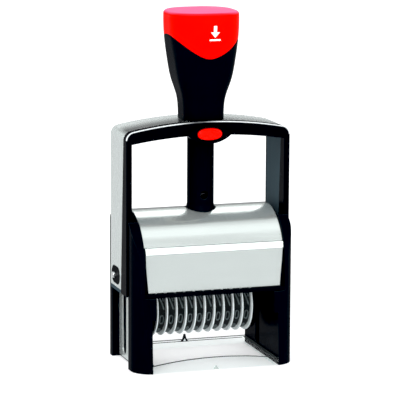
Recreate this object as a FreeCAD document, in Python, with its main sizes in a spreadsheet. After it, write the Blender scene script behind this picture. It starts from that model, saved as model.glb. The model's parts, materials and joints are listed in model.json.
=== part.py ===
import FreeCAD, Part
import math
import os
import Sketcher
from FreeCAD import Vector, Placement, Rotation

# Self-inking numbering stamp with ten figure bands.
# Frame: X to the right, Y to the rear, Z up, millimetres.
# Origin: on the table, below the axis of the handle and its post.
# Front distances are given as positive lengths ahead of the axis and take a minus in Y.
# Plain numbers added to a dimension only carry a cutter past the faces it cuts, or a
# solid into the one it is fused with.

doc = FreeCAD.newDocument("NumberingStamp")

WHEELS = 10        # figure wheels, each with its band
GROOVE_STEPS = 72  # steps along the flip pin's path

# ---------------------------------------------------------------- dimensions
# alias, value, description
DIMENSIONS = [
    # arch: the inverted U that moves with the handle
    ("arch_half", 35.0, "half width over the arch legs"),
    ("arch_wall", 2.44, "thickness of an arch leg"),
    ("arch_front", 11.0, "front face of the arch, ahead of the axis"),
    ("arch_rear", 11.9, "rear face of the arch"),
    ("arch_bottom", 30.0, "lower end of the legs at rest"),
    ("arch_corner_z", 94.17, "where the outer corner starts"),
    ("arch_corner_x", 31.93, "where the outer corner ends"),
    ("arch_shoulder_z", 97.9, "height of the end of the outer corner"),
    ("arch_corner_rad", 3.8, "outer corner radius"),
    ("arch_top_rad", 165.8, "radius of the crowned top"),
    ("arch_under_z", 92.7, "underside beside the legs"),
    ("arch_under_rad", 197.7, "radius of the underside"),
    ("band_thick", 1.2, "thickness of the steel band"),
    ("band_corner_rad", 2.6, "inner corner radius of the band"),
    ("band_corner_x", 31.7, "inner end of the corner"),
    ("band_corner_z", 96.72, "height of the inner end of the corner"),
    ("band_bottom", 31.5, "lower end of the steel band"),
    ("lip_gap", 0.05, "joint between the steel band and the core's lip"),
    ("trim_top_y", 7.0, "front trim wraps back to here at the top"),
    ("trim_low_y", 2.84, "front trim wraps back to here at the foot"),
    ("trim_low_z", 28.0, "height where the trim's sloping edge starts"),
    ("trim_bend_z", 95.17, "height where the trim's edge turns upright"),
    ("trim_gap", 0.12, "joint line behind the front trim"),
    ("boss_half", 9.5, "half width of the boss round the button"),
    ("boss_mid_z", 95.7, "height of the boss's ends"),
    ("boss_rad", 13.9, "radius of the boss's lower and upper edge"),
    ("boss_front", 12.3, "front face of the boss"),
    ("boss_back", 7.6, "rear face of the boss below the arch"),
    ("back_plate_y", 10.8, "front of the rear trim plate"),
    ("back_plate_gap", 0.1, "joint line ahead of the rear trim plate"),
    # lock button
    ("button_half", 5.3, "half width of the button"),
    ("button_rad", 2.55, "half height of the button"),
    ("button_z", 96.0, "height of the button"),
    ("button_front", 13.5, "front face of the button"),
    ("button_back", 10.9, "rear face of the button's head"),
    ("button_tip", 5.9, "end of the button's stem"),
    ("button_gap", 0.1, "clearance round the button"),
    ("button_floor", 9.6, "floor of the button's well"),
    ("button_wall", 0.3, "least wall round the pocket in the button's back"),
    ("head_pocket", 1.5, "depth of the pocket in the button's back"),
    ("stem_rad", 1.5, "radius of the lock stem"),
    ("stem_hole_rad", 1.65, "radius of the stem's hole"),
    ("coil_pocket_rad", 2.6, "radius of the small spring's pocket"),
    ("coil_pocket_floor", 7.6, "floor of the small spring's pocket"),
    ("coil_rad", 2.0, "small spring's coil radius"),
    ("coil_wire", 0.32, "small spring's wire, centre to corner"),
    ("coil_pitch", 0.95, "small spring's pitch"),
    ("coil_long", 2.8, "small spring's length between wire centres"),
    # pivot and stroke
    ("stroke", 26.4, "travel of the handle"),
    ("pivot_y", 4.4, "pivot axle, behind the handle axis"),
    ("pivot_z", 36.4, "pivot axle, height at rest"),
    ("pivot_rad", 1.3, "radius of the pivot axle"),
    ("pivot_half", 36.5, "half length of the pivot axle"),
    ("bush_run", 5.9, "half width of the side bush"),
    ("bush_rad", 3.7, "half height of the side bush"),
    ("bush_in", 32.4, "inner end of the side bush"),
    ("bush_out", 35.2, "outer end of the side bush"),
    ("run_gap", 0.05, "radial clearance of a running fit"),
    ("seat_gap", 0.02, "radial clearance of a fixed fit"),
    # cradle, figure wheels and bands
    ("wheel_z", 22.0, "height of the figure wheels' axle at rest"),
    ("wheel_pitch", 4.09, "pitch of the figure wheels"),
    ("wheel_gap", 0.1, "what a wheel's width leaves of the pitch"),
    ("flange_rad", 12.2, "radius of a wheel's flange"),
    ("flange_wide", 0.6, "thickness of a wheel's flange"),
    ("drum_rad", 9.4, "radius of a wheel's drum"),
    ("axle_rad", 2.0, "radius of the figure wheels' axle"),
    ("cradle_in", 21.0, "inner face of a cradle plate"),
    ("cradle_out", 23.0, "outer face of a cradle plate"),
    ("cradle_rad", 11.5, "radius of the plate's lower end"),
    ("cradle_top_rad", 4.0, "radius of the plate's upper end"),
    ("end_gap", 0.05, "how far a piece's end stays inside a plate's face"),
    ("nose_z", 41.8, "centre of the printing nose at rest"),
    ("nose_rad", 2.6, "radius of the printing nose"),
    ("nose_low", 38.6, "underside of the bridge bar"),
    ("nose_web", 2.0, "half depth of the bridge bar's web"),
    ("tenon_rad", 1.5, "radius of the bridge bar's tenons"),
    ("band_in_low", 9.5, "band's inner radius at the wheel"),
    ("band_in_top", 2.65, "band's inner radius at the nose"),
    ("rubber", 1.1, "thickness of a figure band"),
    ("rubber_wide", 3.2, "width of a figure band"),
    ("cam_arm", 7.0, "distance from the pivot to the flip pin"),
    ("cam_rad", 1.5, "radius of the flip pin"),
    ("cam_gap", 0.18, "clearance of the pin in its groove"),
    ("cam_pin_in", 21.6, "inner end of the flip pin"),
    ("cam_pin_out", 28.4, "outer end of the flip pin"),
    ("cam_floor", 28.6, "floor of the groove"),
    ("roller_rad", 2.4, "radius of a slot roller"),
    ("roller_in", 27.3, "inner face of a slot roller"),
    ("roller_out", 31.1, "outer face of a slot roller"),
    ("clip_in", 31.6, "inner face of an axle clip"),
    ("clip_out", 32.1, "outer face of an axle clip"),
    ("clip_rad", 2.6, "radius of an axle clip"),
    # comb that indexes the wheels
    ("comb_low", 34.4, "underside of the comb's back"),
    ("comb_thick", 0.5, "thickness of the comb"),
    ("comb_half", 1.5, "half depth of the comb's back"),
    ("comb_tip", 31.45, "tips of the comb's fingers"),
    ("finger_half_x", 0.7, "half width of a finger"),
    ("finger_half_y", 0.3, "half depth of a finger"),
    # base cheeks
    ("cheek_in", 27.0, "inner face of a cheek"),
    ("cheek_wall", 30.8, "outer face of the wall in the leg's channel"),
    ("cheek_step", 29.85, "inner face of the raised rim"),
    ("cheek_half", 34.3, "outer face of a cheek"),
    ("foot_front", 22.9, "front of a foot"),
    ("foot_rear", 20.7, "rear of a foot"),
    ("foot_corner_rad", 8.3, "plan radius of a cheek's corners"),
    ("foot_corner_front", 14.6, "outer end of the front plan radius"),
    ("foot_corner_rear", 14.7, "outer end of the rear plan radius"),
    ("foot_nose_front", 22.84, "front plan radius at the inner face"),
    ("foot_nose_rear", 22.94, "rear plan radius at the inner face"),
    ("rim_front_y", 21.1, "rim's foremost point"),
    ("rim_mid_z", 42.5, "height of the rim's foremost point"),
    ("rim_low_y", 20.9, "cheek front under the panel"),
    ("rim_low_z", 33.0, "height there"),
    ("rim_rad", 22.3, "front rim radius"),
    ("rim_y", 1.2, "rim centre"),
    ("rim_top", 64.8, "top of the rim"),
    ("rim_back_rad", 21.7, "rear rim radius"),
    ("rim_back_y", 22.9, "rim's rearmost point"),
    ("rim_back_z", 43.1, "height of the rearmost point"),
    ("hip_y", 20.9, "cheek rear at the hip"),
    ("hip_z", 20.0, "height of the hip"),
    ("ledge_y", 21.0, "front end of the ledge"),
    ("ledge_z", 30.95, "ledge under the front panel"),
    ("seat_front_y", 18.9, "cheek front behind the panel"),
    ("seat_bend_z", 46.3, "where the seat starts to curve"),
    ("seat_rad", 20.45, "front seat radius under the hood"),
    ("seat_top", 62.95, "top of the seat under the hood"),
    ("seat_back_rad", 19.85, "rear seat radius"),
    ("seat_back_y", 21.05, "rearmost point of the seat"),
    ("seat_back_z", 42.8, "step below the hood's rear edge"),
    ("seat_step_y", 22.85, "rear end of the step"),
    ("channel_front", 11.4, "front wall of the leg's channel"),
    ("channel_rear", 12.3, "rear wall of the leg's channel"),
    ("slot_half", 2.45, "half width of the axle slot"),
    ("slot_low_z", 5.05, "centre of the slot's lower end"),
    ("slot_top_z", 39.0, "centre of the slot's upper end"),
    ("rib_in", 25.4, "inner face of the front rib"),
    ("rib_front", 21.5, "front of the front rib"),
    ("rib_back", 19.9, "rear of the front rib"),
    ("rib_low_z", 22.0, "lower end of the front rib"),
    ("rail_in", 24.2, "inner edge of the drawer rail"),
    ("rail_front", 18.4, "front end of the drawer rail"),
    ("rail_top", 46.85, "top of the drawer rail"),
    ("rail_low", 45.6, "underside of the drawer rail"),
    # steel side plates
    ("plate_in", 30.85, "inner face of a side plate"),
    ("plate_out", 31.3, "outer face of a side plate"),
    ("plate_low", 0.8, "lower edge of a side plate"),
    ("plate_top", 58.0, "upper edge of a side plate"),
    ("plate_gap", 0.1, "clearance of a side plate in the channel"),
    # hood
    ("hood_half", 29.6, "half width of the hood"),
    ("hood_rad", 21.5, "outer front radius of the hood"),
    ("hood_in_rad", 20.5, "inner front radius of the hood"),
    ("hood_top", 64.0, "top of the hood"),
    ("hood_in_top", 63.0, "inner top of the hood"),
    ("hood_back_rad", 20.9, "outer rear radius of the hood"),
    ("hood_back_in_rad", 19.9, "inner rear radius of the hood"),
    ("hood_back_y", 22.1, "rearmost point of the hood"),
    ("hood_back_in_y", 21.1, "inner rearmost point of the hood"),
    ("hood_front_z", 51.5, "front edge of the hood"),
    ("hood_front_y", 18.33, "outer front edge"),
    ("hood_front_in_y", 17.22, "inner front edge"),
    ("hood_hole_rad", 6.5, "hole for the post"),
    # front panel, crossbar and rear panel
    ("panel_low", 33.0, "lower edge of the front panel"),
    ("panel_mid_z", 44.0, "height of the panel's middle corners"),
    ("panel_top", 51.42, "upper edge of the front panel"),
    ("panel_low_half", 28.16, "half width at the lower edge"),
    ("panel_mid_half", 29.1, "half width at the middle corners"),
    ("panel_top_half", 29.4, "half width at the upper edge"),
    ("panel_back", 19.0, "rear face of the front panel"),
    ("panel_bend_z", 46.2, "where the rear face starts to lean"),
    ("panel_back_top", 18.0, "rear face at the upper edge"),
    ("panel_foot", 19.9, "front face at the lower edge"),
    ("panel_face", 19.65, "front face of the flat middle"),
    ("panel_face_low", 38.0, "lower end of the flat middle"),
    ("panel_face_top", 44.7, "upper end of the flat middle"),
    ("panel_neck", 19.8, "front face just below the pull ridge"),
    ("panel_neck_low", 47.7, "lower end of that face"),
    ("ridge_face", 20.3, "front face of the pull ridge"),
    ("ridge_low", 48.7, "lower edge of the pull ridge"),
    ("ridge_edge", 48.9, "height of the ridge's foremost edge"),
    ("ridge_lip", 19.6, "front of the leaning ridge at its top"),
    ("tongue_half", 24.0, "half width of the tongue behind the panel"),
    ("tongue_front", 18.8, "front of the tongue"),
    ("tongue_low", 47.3, "underside of the tongue"),
    ("tongue_top", 50.3, "top of the tongue"),
    ("bar_half", 29.8, "half length of the front crossbar"),
    ("bar_front", 21.2, "front of the crossbar"),
    ("bar_back", 20.15, "rear of the crossbar"),
    ("bar_low", 31.0, "underside of the crossbar"),
    ("bar_top", 32.9, "top of the crossbar"),
    ("back_front", 19.4, "front of the rear panel"),
    ("back_rear", 20.85, "rear of the rear panel"),
    ("back_top", 43.2, "top of the rear panel"),
    # deck and its screws
    ("fit_half", 26.95, "half width of a piece between the cheeks"),
    ("deck_front", 13.5, "front of the deck"),
    ("deck_rear", 17.0, "rear of the deck"),
    ("deck_low", 52.0, "underside of the deck"),
    ("deck_top", 54.0, "top of the deck"),
    ("block_long", 7.0, "length of a screw block along X"),
    ("block_inset", 3.0, "block's ends, inside the deck's front and rear"),
    ("block_low", 51.0, "underside of a screw block"),
    ("block_top", 55.4, "top of a screw block"),
    ("deck_screw_z", 53.2, "height of the deck screws"),
    ("deck_screw_front", 6.0, "front deck screws"),
    ("deck_screw_rear", 10.0, "rear deck screws"),
    ("deck_screw_tip", 19.45, "inner end of a deck screw"),
    ("deck_head_in", 29.5, "inner face of a deck screw's head"),
    ("deck_head_out", 30.75, "outer face of a deck screw's head"),
    ("screw_rad", 0.9, "screw shank radius"),
    ("screw_head_rad", 1.8, "deck screw head radius"),
    # post and main spring
    ("post_rad", 5.55, "post radius"),
    ("post_lift", 0.05, "gap between the deck and the post's flange"),
    ("post_bore", 4.35, "post bore radius"),
    ("post_floor", 56.0, "floor of the post's bore"),
    ("post_top", 112.0, "top of the post"),
    ("post_flange_rad", 9.0, "post flange radius"),
    ("post_spigot_rad", 5.0, "post spigot radius"),
    ("flare_rad", 6.3, "radius of the flare at the hood"),
    ("flare_low", 62.4, "start of the flare"),
    ("flare_top", 65.6, "end of the flare"),
    ("spring_rad", 3.55, "main spring's coil radius"),
    ("spring_wire", 0.45, "main spring's wire radius"),
    ("spring_low", 56.6, "first wire centre"),
    ("spring_long", 81.4, "length between wire centres at rest"),
    ("spring_pitch", 4.07, "main spring's pitch"),
    # handle: eight rounded-square sections, numbered upwards
    ("grip_half_1", 8.6, "half width of section 1"),
    ("grip_half_2", 8.64, "half width of section 2"),
    ("grip_half_3", 9.3, "half width of section 3"),
    ("grip_half_4", 11.2, "half width of section 4"),
    ("grip_half_5", 12.56, "half width of section 5"),
    ("grip_half_6", 13.6, "half width of section 6"),
    ("grip_half_7", 14.0, "half width of section 7"),
    ("grip_half_8", 13.95, "half width of section 8"),
    ("grip_z_1", 99.0, "height of section 1, before the grip meets the arch"),
    ("grip_z_2", 105.0, "height of section 2"),
    ("grip_z_3", 110.5, "height of section 3"),
    ("grip_z_4", 116.8, "height of section 4"),
    ("grip_z_5", 124.0, "height of section 5"),
    ("grip_z_6", 132.6, "height of section 6"),
    ("grip_z_7", 139.0, "height of section 7"),
    ("grip_z_8", 147.0, "height of section 8, above the crown"),
    ("grip_round", 0.61, "corner radius over half width"),
    ("grip_foot_z", 98.8, "the grip has nothing below this height"),
    ("grip_bore", 5.9, "radius of the grip's bore"),
    ("grip_roof", 138.5, "top of the grip's bore"),
    ("grip_nut_z", 141.0, "floor of the nut's recess"),
    ("grip_core_top", 143.4, "top of the grip under the cap"),
    ("crown_top", 146.3, "top of the handle"),
    ("crown_rad", 66.0, "radius of the domed top"),
    ("cap_wall", 1.7, "thickness of the cap's skirt"),
    ("cap_low", 127.0, "lowest point of the cap's tongue"),
    ("cap_line_rad", 16.5, "radius of the cap's lower edge"),
    ("cap_gap", 0.22, "joint line under the cap"),
    ("rod_rad", 1.9, "guide rod radius"),
    ("rod_low", 86.0, "lower end of the guide rod"),
    ("rod_top", 143.2, "upper end of the guide rod"),
    ("nut_rad", 3.4, "nut radius over corners"),
    ("nut_gap", 0.4, "clearance round the nut's corners"),
    ("nut_top", 143.1, "top of the nut"),
    ("guide_out", 6.6, "outer radius of the post bush"),
    ("guide_low", 94.0, "lower end of the post bush"),
    ("guide_top", 100.7, "upper end of the post bush"),
    ("arch_screw", 5.94, "arch screws from the axis, in X and in Y"),
    ("arch_screw_head", 1.4, "arch screw head radius"),
    ("arch_head_gap", 0.1, "clearance round an arch screw's head"),
    ("arch_screw_low", 94.75, "underside of the arch screw heads"),
    ("arch_screw_seat", 95.95, "seat of the arch screw heads"),
    ("arch_screw_top", 107.0, "end of the arch screws"),
    ("arch_hole_top", 107.5, "end of the arch screws' holes"),
    # pad drawer
    ("tray_half", 25.5, "half width of the pad tray"),
    ("tray_front", 18.05, "front of the pad tray"),
    ("tray_rear", 16.5, "rear of the pad tray"),
    ("tray_low", 46.9, "underside of the pad tray"),
    ("tray_top", 50.6, "top of the pad tray"),
    ("pad_half", 22.5, "half width of the ink pad"),
    ("pad_front", 4.0, "front of the ink pad"),
    ("pad_rear", 13.0, "rear of the ink pad"),
    ("pad_low", 46.6, "inked face"),
    ("pad_top", 49.95, "back of the ink pad"),
    # clear base frame
    ("clear_front", 22.3, "front of the clear frame"),
    ("clear_front_in", 20.5, "inner face of its front wall"),
    ("clear_rear", 20.7, "rear of the clear frame"),
    ("clear_rear_in", 18.9, "inner face of its rear wall"),
    ("clear_high", 2.9, "height of the front wall at its ends"),
    ("clear_arch_rad", 166.0, "radius of the front wall's top"),
    ("clear_rear_high", 3.0, "height of the rear wall"),
    ("clear_side_high", 2.8, "height of the side walls"),
    ("clear_side_in", 25.4, "inner face of a side wall"),
]

VALUES = {alias: value for alias, value, _ in DIMENSIONS}
sheet = doc.addObject("Spreadsheet::Sheet", "dims")
sheet.set("A1", "description")
sheet.set("B1", "value")
for row, (alias, value, text) in enumerate(DIMENSIONS, start=2):
    sheet.set(f"A{row}", text)
    sheet.set(f"B{row}", repr(value))
    sheet.setAlias(f"B{row}", alias)
doc.recompute()


# ---------------------------------------------------------------- expressions
def words(text):
    """Split an expression into names, numbers and signs."""
    found, start = [], 0
    while start < len(text):
        stop = start + 1
        if text[start].isalnum():
            while stop < len(text) and (text[stop].isalnum() or text[stop] in "_."):
                stop += 1
        if not text[start].isspace():
            found.append(text[start:stop])
        start = stop
    return found


def bound(expr):
    """An expression with each dimension's name pointing at its cell."""
    return " ".join("dims." + w if w in VALUES else w for w in words(expr))


def number(expr):
    """The value of a simple expression: names, numbers, + - * / and brackets."""
    queue = words(expr)

    def atom():
        word = queue.pop(0)
        if word == "(":
            value = total()
            queue.pop(0)
            return value
        if word == "-":
            return -atom()
        return VALUES[word] if word in VALUES else float(word)

    def product():
        value = atom()
        while queue and queue[0] in "*/":
            value = value * atom() if queue.pop(0) == "*" else value / atom()
        return value

    def total():
        value = product()
        while queue and queue[0] in "+-":
            value = value + product() if queue.pop(0) == "+" else value - product()
        return value

    return total()


# ---------------------------------------------------------------- solids
TURN = {
    "x": Rotation(Vector(0, 1, 0), 90),
    "y": Rotation(Vector(1, 0, 0), -90),
    "z": Rotation(),
}


def place(obj, x, y, z):
    for axis, expr in (("x", x), ("y", y), ("z", z)):
        obj.setExpression("Placement.Base." + axis, bound(expr))


def box(name, x0, x1, y0, y1, z0, z1):
    block = doc.addObject("Part::Box", name)
    for prop, low, high in (("Length", x0, x1), ("Width", y0, y1), ("Height", z0, z1)):
        block.setExpression(prop, bound(f"({high}) - ({low})"))
    place(block, x0, y0, z0)
    return block


def round_bar(name, rad, axis, start, end, x="0", y="0", z="0", top_rad=None):
    """A cylinder (or cone) along an axis from start to end; x, y, z place its axis."""
    kind = "Part::Cylinder" if top_rad is None else "Part::Cone"
    bar = doc.addObject(kind, name)
    bar.Placement = Placement(Vector(0, 0, 0), TURN[axis])
    if top_rad is None:
        bar.setExpression("Radius", bound(rad))
    else:
        bar.setExpression("Radius1", bound(rad))
        bar.setExpression("Radius2", bound(top_rad))
    bar.setExpression("Height", bound(f"({end}) - ({start})"))
    at = {"x": x, "y": y, "z": z}
    at[axis] = start
    place(bar, **at)
    return bar


def fuse(name, *shapes):
    joined = doc.addObject("Part::MultiFuse", name)
    joined.Shapes = list(shapes)
    joined.Refine = True
    return joined


def common(name, *shapes):
    shared = doc.addObject("Part::MultiCommon", name)
    shared.Shapes = list(shapes)
    shared.Refine = True
    return shared


def cut(name, base, *tools):
    tool = tools[0] if len(tools) == 1 else fuse(name + "_tools", *tools)
    rest = doc.addObject("Part::Cut", name)
    rest.Base = base
    rest.Tool = tool
    rest.Refine = True
    return rest


def group(name, *shapes):
    compound = doc.addObject("Part::Compound", name)
    compound.Links = list(shapes)
    return compound


def mirror(name, source):
    """The left-hand twin of a right-hand solid."""
    twin = doc.addObject("Part::Mirroring", name)
    twin.Source = source
    twin.Base = Vector(0, 0, 0)
    twin.Normal = Vector(1, 0, 0)
    return twin


def sides(inner, outer):
    """Side name and X range of the same span on the right and on the left."""
    return ("right", inner, outer), ("left", f"-({outer})", f"-({inner})")


def coil(name, rad, wire, pitch, long, axis, at, square=False):
    """A compression spring: a round or square wire swept along a helix."""
    helix = doc.addObject("Part::Helix", name + "_helix")
    helix.setExpression("Radius", bound(rad))
    helix.setExpression("Pitch", bound(pitch))
    helix.setExpression("Height", bound(long))
    upright = Rotation(Vector(1, 0, 0), 90)
    if square:
        section = doc.addObject("Part::RegularPolygon", name + "_wire")
        section.Polygon = 4
        section.setExpression("Circumradius", bound(wire))
        upright = upright * Rotation(Vector(0, 0, 1), 45)
    else:
        section = doc.addObject("Part::Circle", name + "_wire")
        section.setExpression("Radius", bound(wire))
    section.Placement = Placement(Vector(0, 0, 0), upright)
    section.setExpression("Placement.Base.x", bound(rad))
    doc.recompute()
    sweep = doc.addObject("Part::Sweep", name)
    sweep.Sections = [section]
    sweep.Spine = (helix, ["Edge1"])
    sweep.Solid = True
    sweep.Frenet = True
    sweep.Placement = Placement(Vector(0, 0, 0), TURN[axis])
    place(sweep, *at)
    return sweep


# ---------------------------------------------------------------- sketches
# direction of each plane's normal along its world axis
NORMAL = {"XY_Plane": 1, "XZ_Plane": -1, "YZ_Plane": 1}


def hold(sketch, kind, expr, *where):
    """Add a dimension to a sketch and bind it to an expression."""
    index = sketch.addConstraint(Sketcher.Constraint(kind, *where, number(expr)))
    sketch.setExpression(f"Constraints[{index}]", bound(expr))


def draw(sketch, points):
    """Closed outline: each point is (x, y) or (x, y, radius, side); with a radius the
    edge to the next point is an arc whose centre lies left (+1) or right (-1) of it."""
    spots = [Vector(number(p[0]), number(p[1]), 0) for p in points]
    edges = []  # edge number, its point at the start, its point at the end
    for i, point in enumerate(points):
        here, there = spots[i], spots[(i + 1) % len(spots)]
        if len(point) == 2:
            edges.append((sketch.addGeometry(Part.LineSegment(here, there), False), 1, 2))
            continue
        rad, side = number(point[2]), point[3]
        half = (there - here) * 0.5
        rise = math.sqrt(max(rad * rad - half.Length**2, 0.0))
        left = Vector(-half.y, half.x, 0).normalize()
        centre = here + half + left * rise * side
        begin, finish = [math.atan2(q.y - centre.y, q.x - centre.x) for q in (here, there)]
        circle = Part.Circle(centre, Vector(0, 0, 1), rad)
        if side > 0:
            arc = Part.ArcOfCircle(circle, begin, finish)
            edges.append((sketch.addGeometry(arc, False), 1, 2))
        else:
            arc = Part.ArcOfCircle(circle, finish, begin)
            edges.append((sketch.addGeometry(arc, False), 2, 1))
    for i, (edge, _, stop) in enumerate(edges):
        following, start, _ = edges[(i + 1) % len(edges)]
        sketch.addConstraint(Sketcher.Constraint("Coincident", edge, stop, following, start))
    for point, (edge, start, _) in zip(points, edges):
        hold(sketch, "DistanceX", point[0], edge, start)
        hold(sketch, "DistanceY", point[1], edge, start)
        if len(point) == 4:
            hold(sketch, "Radius", point[2], edge)


def draw_loop(sketch, y, z_low, r_low, z_top, r_top):
    """Two circles one above the other, joined by their outer tangents."""
    low_rad, top_rad = number(r_low), number(r_top)
    low = Vector(number(y), number(z_low), 0)
    top = Vector(number(y), number(z_top), 0)
    lean = math.asin((low_rad - top_rad) / (top.y - low.y))
    right = Vector(math.cos(lean), math.sin(lean), 0)
    left = Vector(-math.cos(lean), math.sin(lean), 0)
    up = Vector(0, 0, 1)
    low_arc, right_line, top_arc, left_line = [sketch.addGeometry(g, False) for g in (
        Part.ArcOfCircle(Part.Circle(low, up, low_rad), math.pi - lean, 2 * math.pi + lean),
        Part.LineSegment(low + right * low_rad, top + right * top_rad),
        Part.ArcOfCircle(Part.Circle(top, up, top_rad), lean, math.pi - lean),
        Part.LineSegment(top + left * top_rad, low + left * low_rad),
    )]
    ring = (low_arc, right_line, top_arc, left_line, low_arc)
    for edge, following in zip(ring, ring[1:]):
        sketch.addConstraint(Sketcher.Constraint("Tangent", edge, 2, following, 1))
    for arc, z, rad in ((low_arc, z_low, r_low), (top_arc, z_top, r_top)):
        hold(sketch, "DistanceX", y, arc, 3)
        hold(sketch, "DistanceY", z, arc, 3)
        hold(sketch, "Radius", rad, arc)


def sketch_on(body, name, role, offset):
    plane = [f for f in body.Origin.OriginFeatures if f.Role == role][0]
    sketch = body.newObject("Sketcher::SketchObject", name)
    sketch.AttachmentSupport = [(plane, "")]
    sketch.MapMode = "FlatFace"
    along = f"-({offset})" if NORMAL[role] < 0 else offset
    sketch.setExpression("AttachmentOffset.Base.z", bound(along))
    return sketch


def pad(body, name, sketch, low, high):
    feature = body.newObject("PartDesign::Pad", name + "_pad")
    feature.Profile = sketch
    feature.setExpression("Length", bound(f"({high}) - ({low})"))


def prism(name, role, low, high, points):
    """A padded outline: YZ_Plane runs along X, XZ_Plane along Y, XY_Plane along Z."""
    body = doc.addObject("PartDesign::Body", name)
    sketch = sketch_on(body, name + "_outline", role, high if NORMAL[role] < 0 else low)
    draw(sketch, points)
    pad(body, name, sketch, low, high)
    return body


def loop_prism(name, low, high, *loops):
    """Padded belt-shaped outlines, one inside the other, along X."""
    body = doc.addObject("PartDesign::Body", name)
    sketch = sketch_on(body, name + "_outline", "YZ_Plane", low)
    for loop in loops:
        draw_loop(sketch, *loop)
    pad(body, name, sketch, low, high)
    return body


def stadium(name, role, low, high, mid, mid_z, half, rad):
    """A long round-ended prism: half is its half length, rad its half height."""
    left, right = f"{mid} - ({half})", f"{mid} + ({half})"
    bottom, top = f"{mid_z} - ({rad})", f"{mid_z} + ({rad})"
    return prism(name, role, low, high, [
        (f"{left} + {rad}", bottom),
        (f"{right} - ({rad})", bottom, rad, 1),
        (right, mid_z, rad, 1),
        (f"{right} - ({rad})", top),
        (f"{left} + {rad}", top, rad, 1),
        (left, mid_z, rad, 1),
    ])


# ---------------------------------------------------------------- pieces
PIECES = {}


def piece(label, obj):
    obj.Label = label
    PIECES[label] = obj


def piece_pair(label, obj, mirror_name):
    """A right-hand piece and its mirrored twin; {} in the label takes the side."""
    piece(label.format("right"), obj)
    piece(label.format("left"), mirror(mirror_name, obj))


# ================================================================ base
# ---- cheeks: inner wall that seats the hood, outer rim, channel for the arch leg
cheek_wall = prism("cheek_wall_prism", "YZ_Plane", "cheek_in", "cheek_wall", [
    ("-foot_front", "0"),
    ("foot_rear", "0"),
    ("hip_y", "hip_z"),
    ("seat_step_y", "seat_back_z"),
    ("seat_back_y", "seat_back_z"),
    ("seat_back_y", "rim_back_z", "seat_back_rad", 1),
    ("rim_y", "seat_top", "seat_rad", 1),
    ("-seat_front_y", "seat_bend_z"),
    ("-seat_front_y", "ledge_z"),
    ("-ledge_y", "ledge_z"),
])
cheek_rim = prism("cheek_rim_prism", "YZ_Plane", "cheek_step", "cheek_half + 1", [
    ("-foot_front", "0"),
    ("foot_rear", "0"),
    ("hip_y", "hip_z"),
    ("rim_back_y", "rim_back_z", "rim_back_rad", 1),
    ("rim_y", "rim_top", "rim_rad", 1),
    ("-rim_front_y", "rim_mid_z"),
    ("-rim_low_y", "rim_low_z"),
])
cheek_rim_open = cut(
    "cheek_rim_open", cheek_rim,
    box("leg_channel", "cheek_wall", "cheek_half + 3",
        "-channel_front", "channel_rear", "-2", "rim_top + 5"),
    box("seat_channel", "cheek_step - 1", "cheek_half + 3",
        "-channel_front", "channel_rear", "seat_bend_z", "rim_top + 5"),
)
cheek_rib = box("cheek_rib", "rib_in", "cheek_in + 1",
                "-rib_front", "-rib_back", "rib_low_z", "ledge_z")
cheek_rail = box("cheek_rail", "rail_in", "cheek_in + 1",
                 "-rail_front", "tray_rear", "rail_low", "rail_top")
# plan outline that rounds the outer corners
cheek_plan = prism("cheek_plan", "XY_Plane", "-1", "rim_top + 2", [
    ("rail_in - 1", "-foot_nose_front"),
    ("cheek_in", "-foot_nose_front", "foot_corner_rad", 1),
    ("cheek_half", "-foot_corner_front"),
    ("cheek_half", "foot_corner_rear", "foot_corner_rad", 1),
    ("cheek_in", "foot_nose_rear"),
    ("rail_in - 1", "foot_nose_rear"),
])
cheek_solid = fuse("cheek_solid", cheek_wall, cheek_rim_open, cheek_rib, cheek_rail)
cheek_raw = common("cheek_raw", cheek_solid, cheek_plan)


def unit(start, end):
    """The Y and Z parts of the direction from one (y, z) point to another."""
    run_y, run_z = end[0] - start[0], end[1] - start[1]
    length = math.hypot(run_y, run_z)
    return run_y / length, run_z / length


def groove_face():
    """The flip pin's path while the pivot comes down the stroke, widened for the pin."""
    path = []
    for step in range(GROOVE_STEPS + 1):
        turn = math.pi * step / GROOVE_STEPS
        drop = VALUES["stroke"] * step / GROOVE_STEPS
        path.append((
            VALUES["pivot_y"] - VALUES["cam_arm"] * math.sin(turn),
            VALUES["pivot_z"] - drop - VALUES["cam_arm"] * math.cos(turn),
        ))
    reach = VALUES["cam_rad"] + VALUES["cam_gap"]
    front, rear = [], []
    for i, (y, z) in enumerate(path):
        run_y, run_z = unit(path[max(i - 1, 0)], path[min(i + 1, GROOVE_STEPS)])
        front.append(Vector(0, y + run_z * reach, z - run_y * reach))
        rear.append(Vector(0, y - run_z * reach, z + run_y * reach))
    # the pin nearly stops half way, so the rear side is two curves that meet in a corner
    middle = (path[0][1] + path[-1][1]) / 2
    upper = [p for p in rear[: GROOVE_STEPS // 2] if p.z > middle]
    before, last = upper[-2:]
    corner = before + (last - before) * ((before.z - middle) / (before.z - last.z))
    upper[-1] = corner
    lower = [Vector(0, p.y, 2 * middle - p.z) for p in reversed(upper)]
    edges = []
    for run in (front, upper, lower):
        curve = Part.BSplineCurve()
        curve.interpolate(run)
        edges.append(curve.toShape())
    for end, near in ((0, 1), (-1, -2)):
        run_y, run_z = unit(path[near], path[end])
        tip = Vector(0, path[end][0] + run_y * reach, path[end][1] + run_z * reach)
        edges.append(Part.Arc(front[end], tip, rear[end]).toShape())
    return Part.Face(Part.Wire(Part.__sortEdges__(edges)))


# groove that flips the cradle; it starts 1 mm inside the cheek's inner face
cam_groove = doc.addObject("Part::Feature", "cam_groove")
cam_groove.Shape = groove_face().extrude(Vector(number("cam_floor - cheek_in + 1"), 0, 0))
cam_groove.Placement = Placement(Vector(number("cheek_in - 1"), 0, 0), Rotation())

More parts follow.
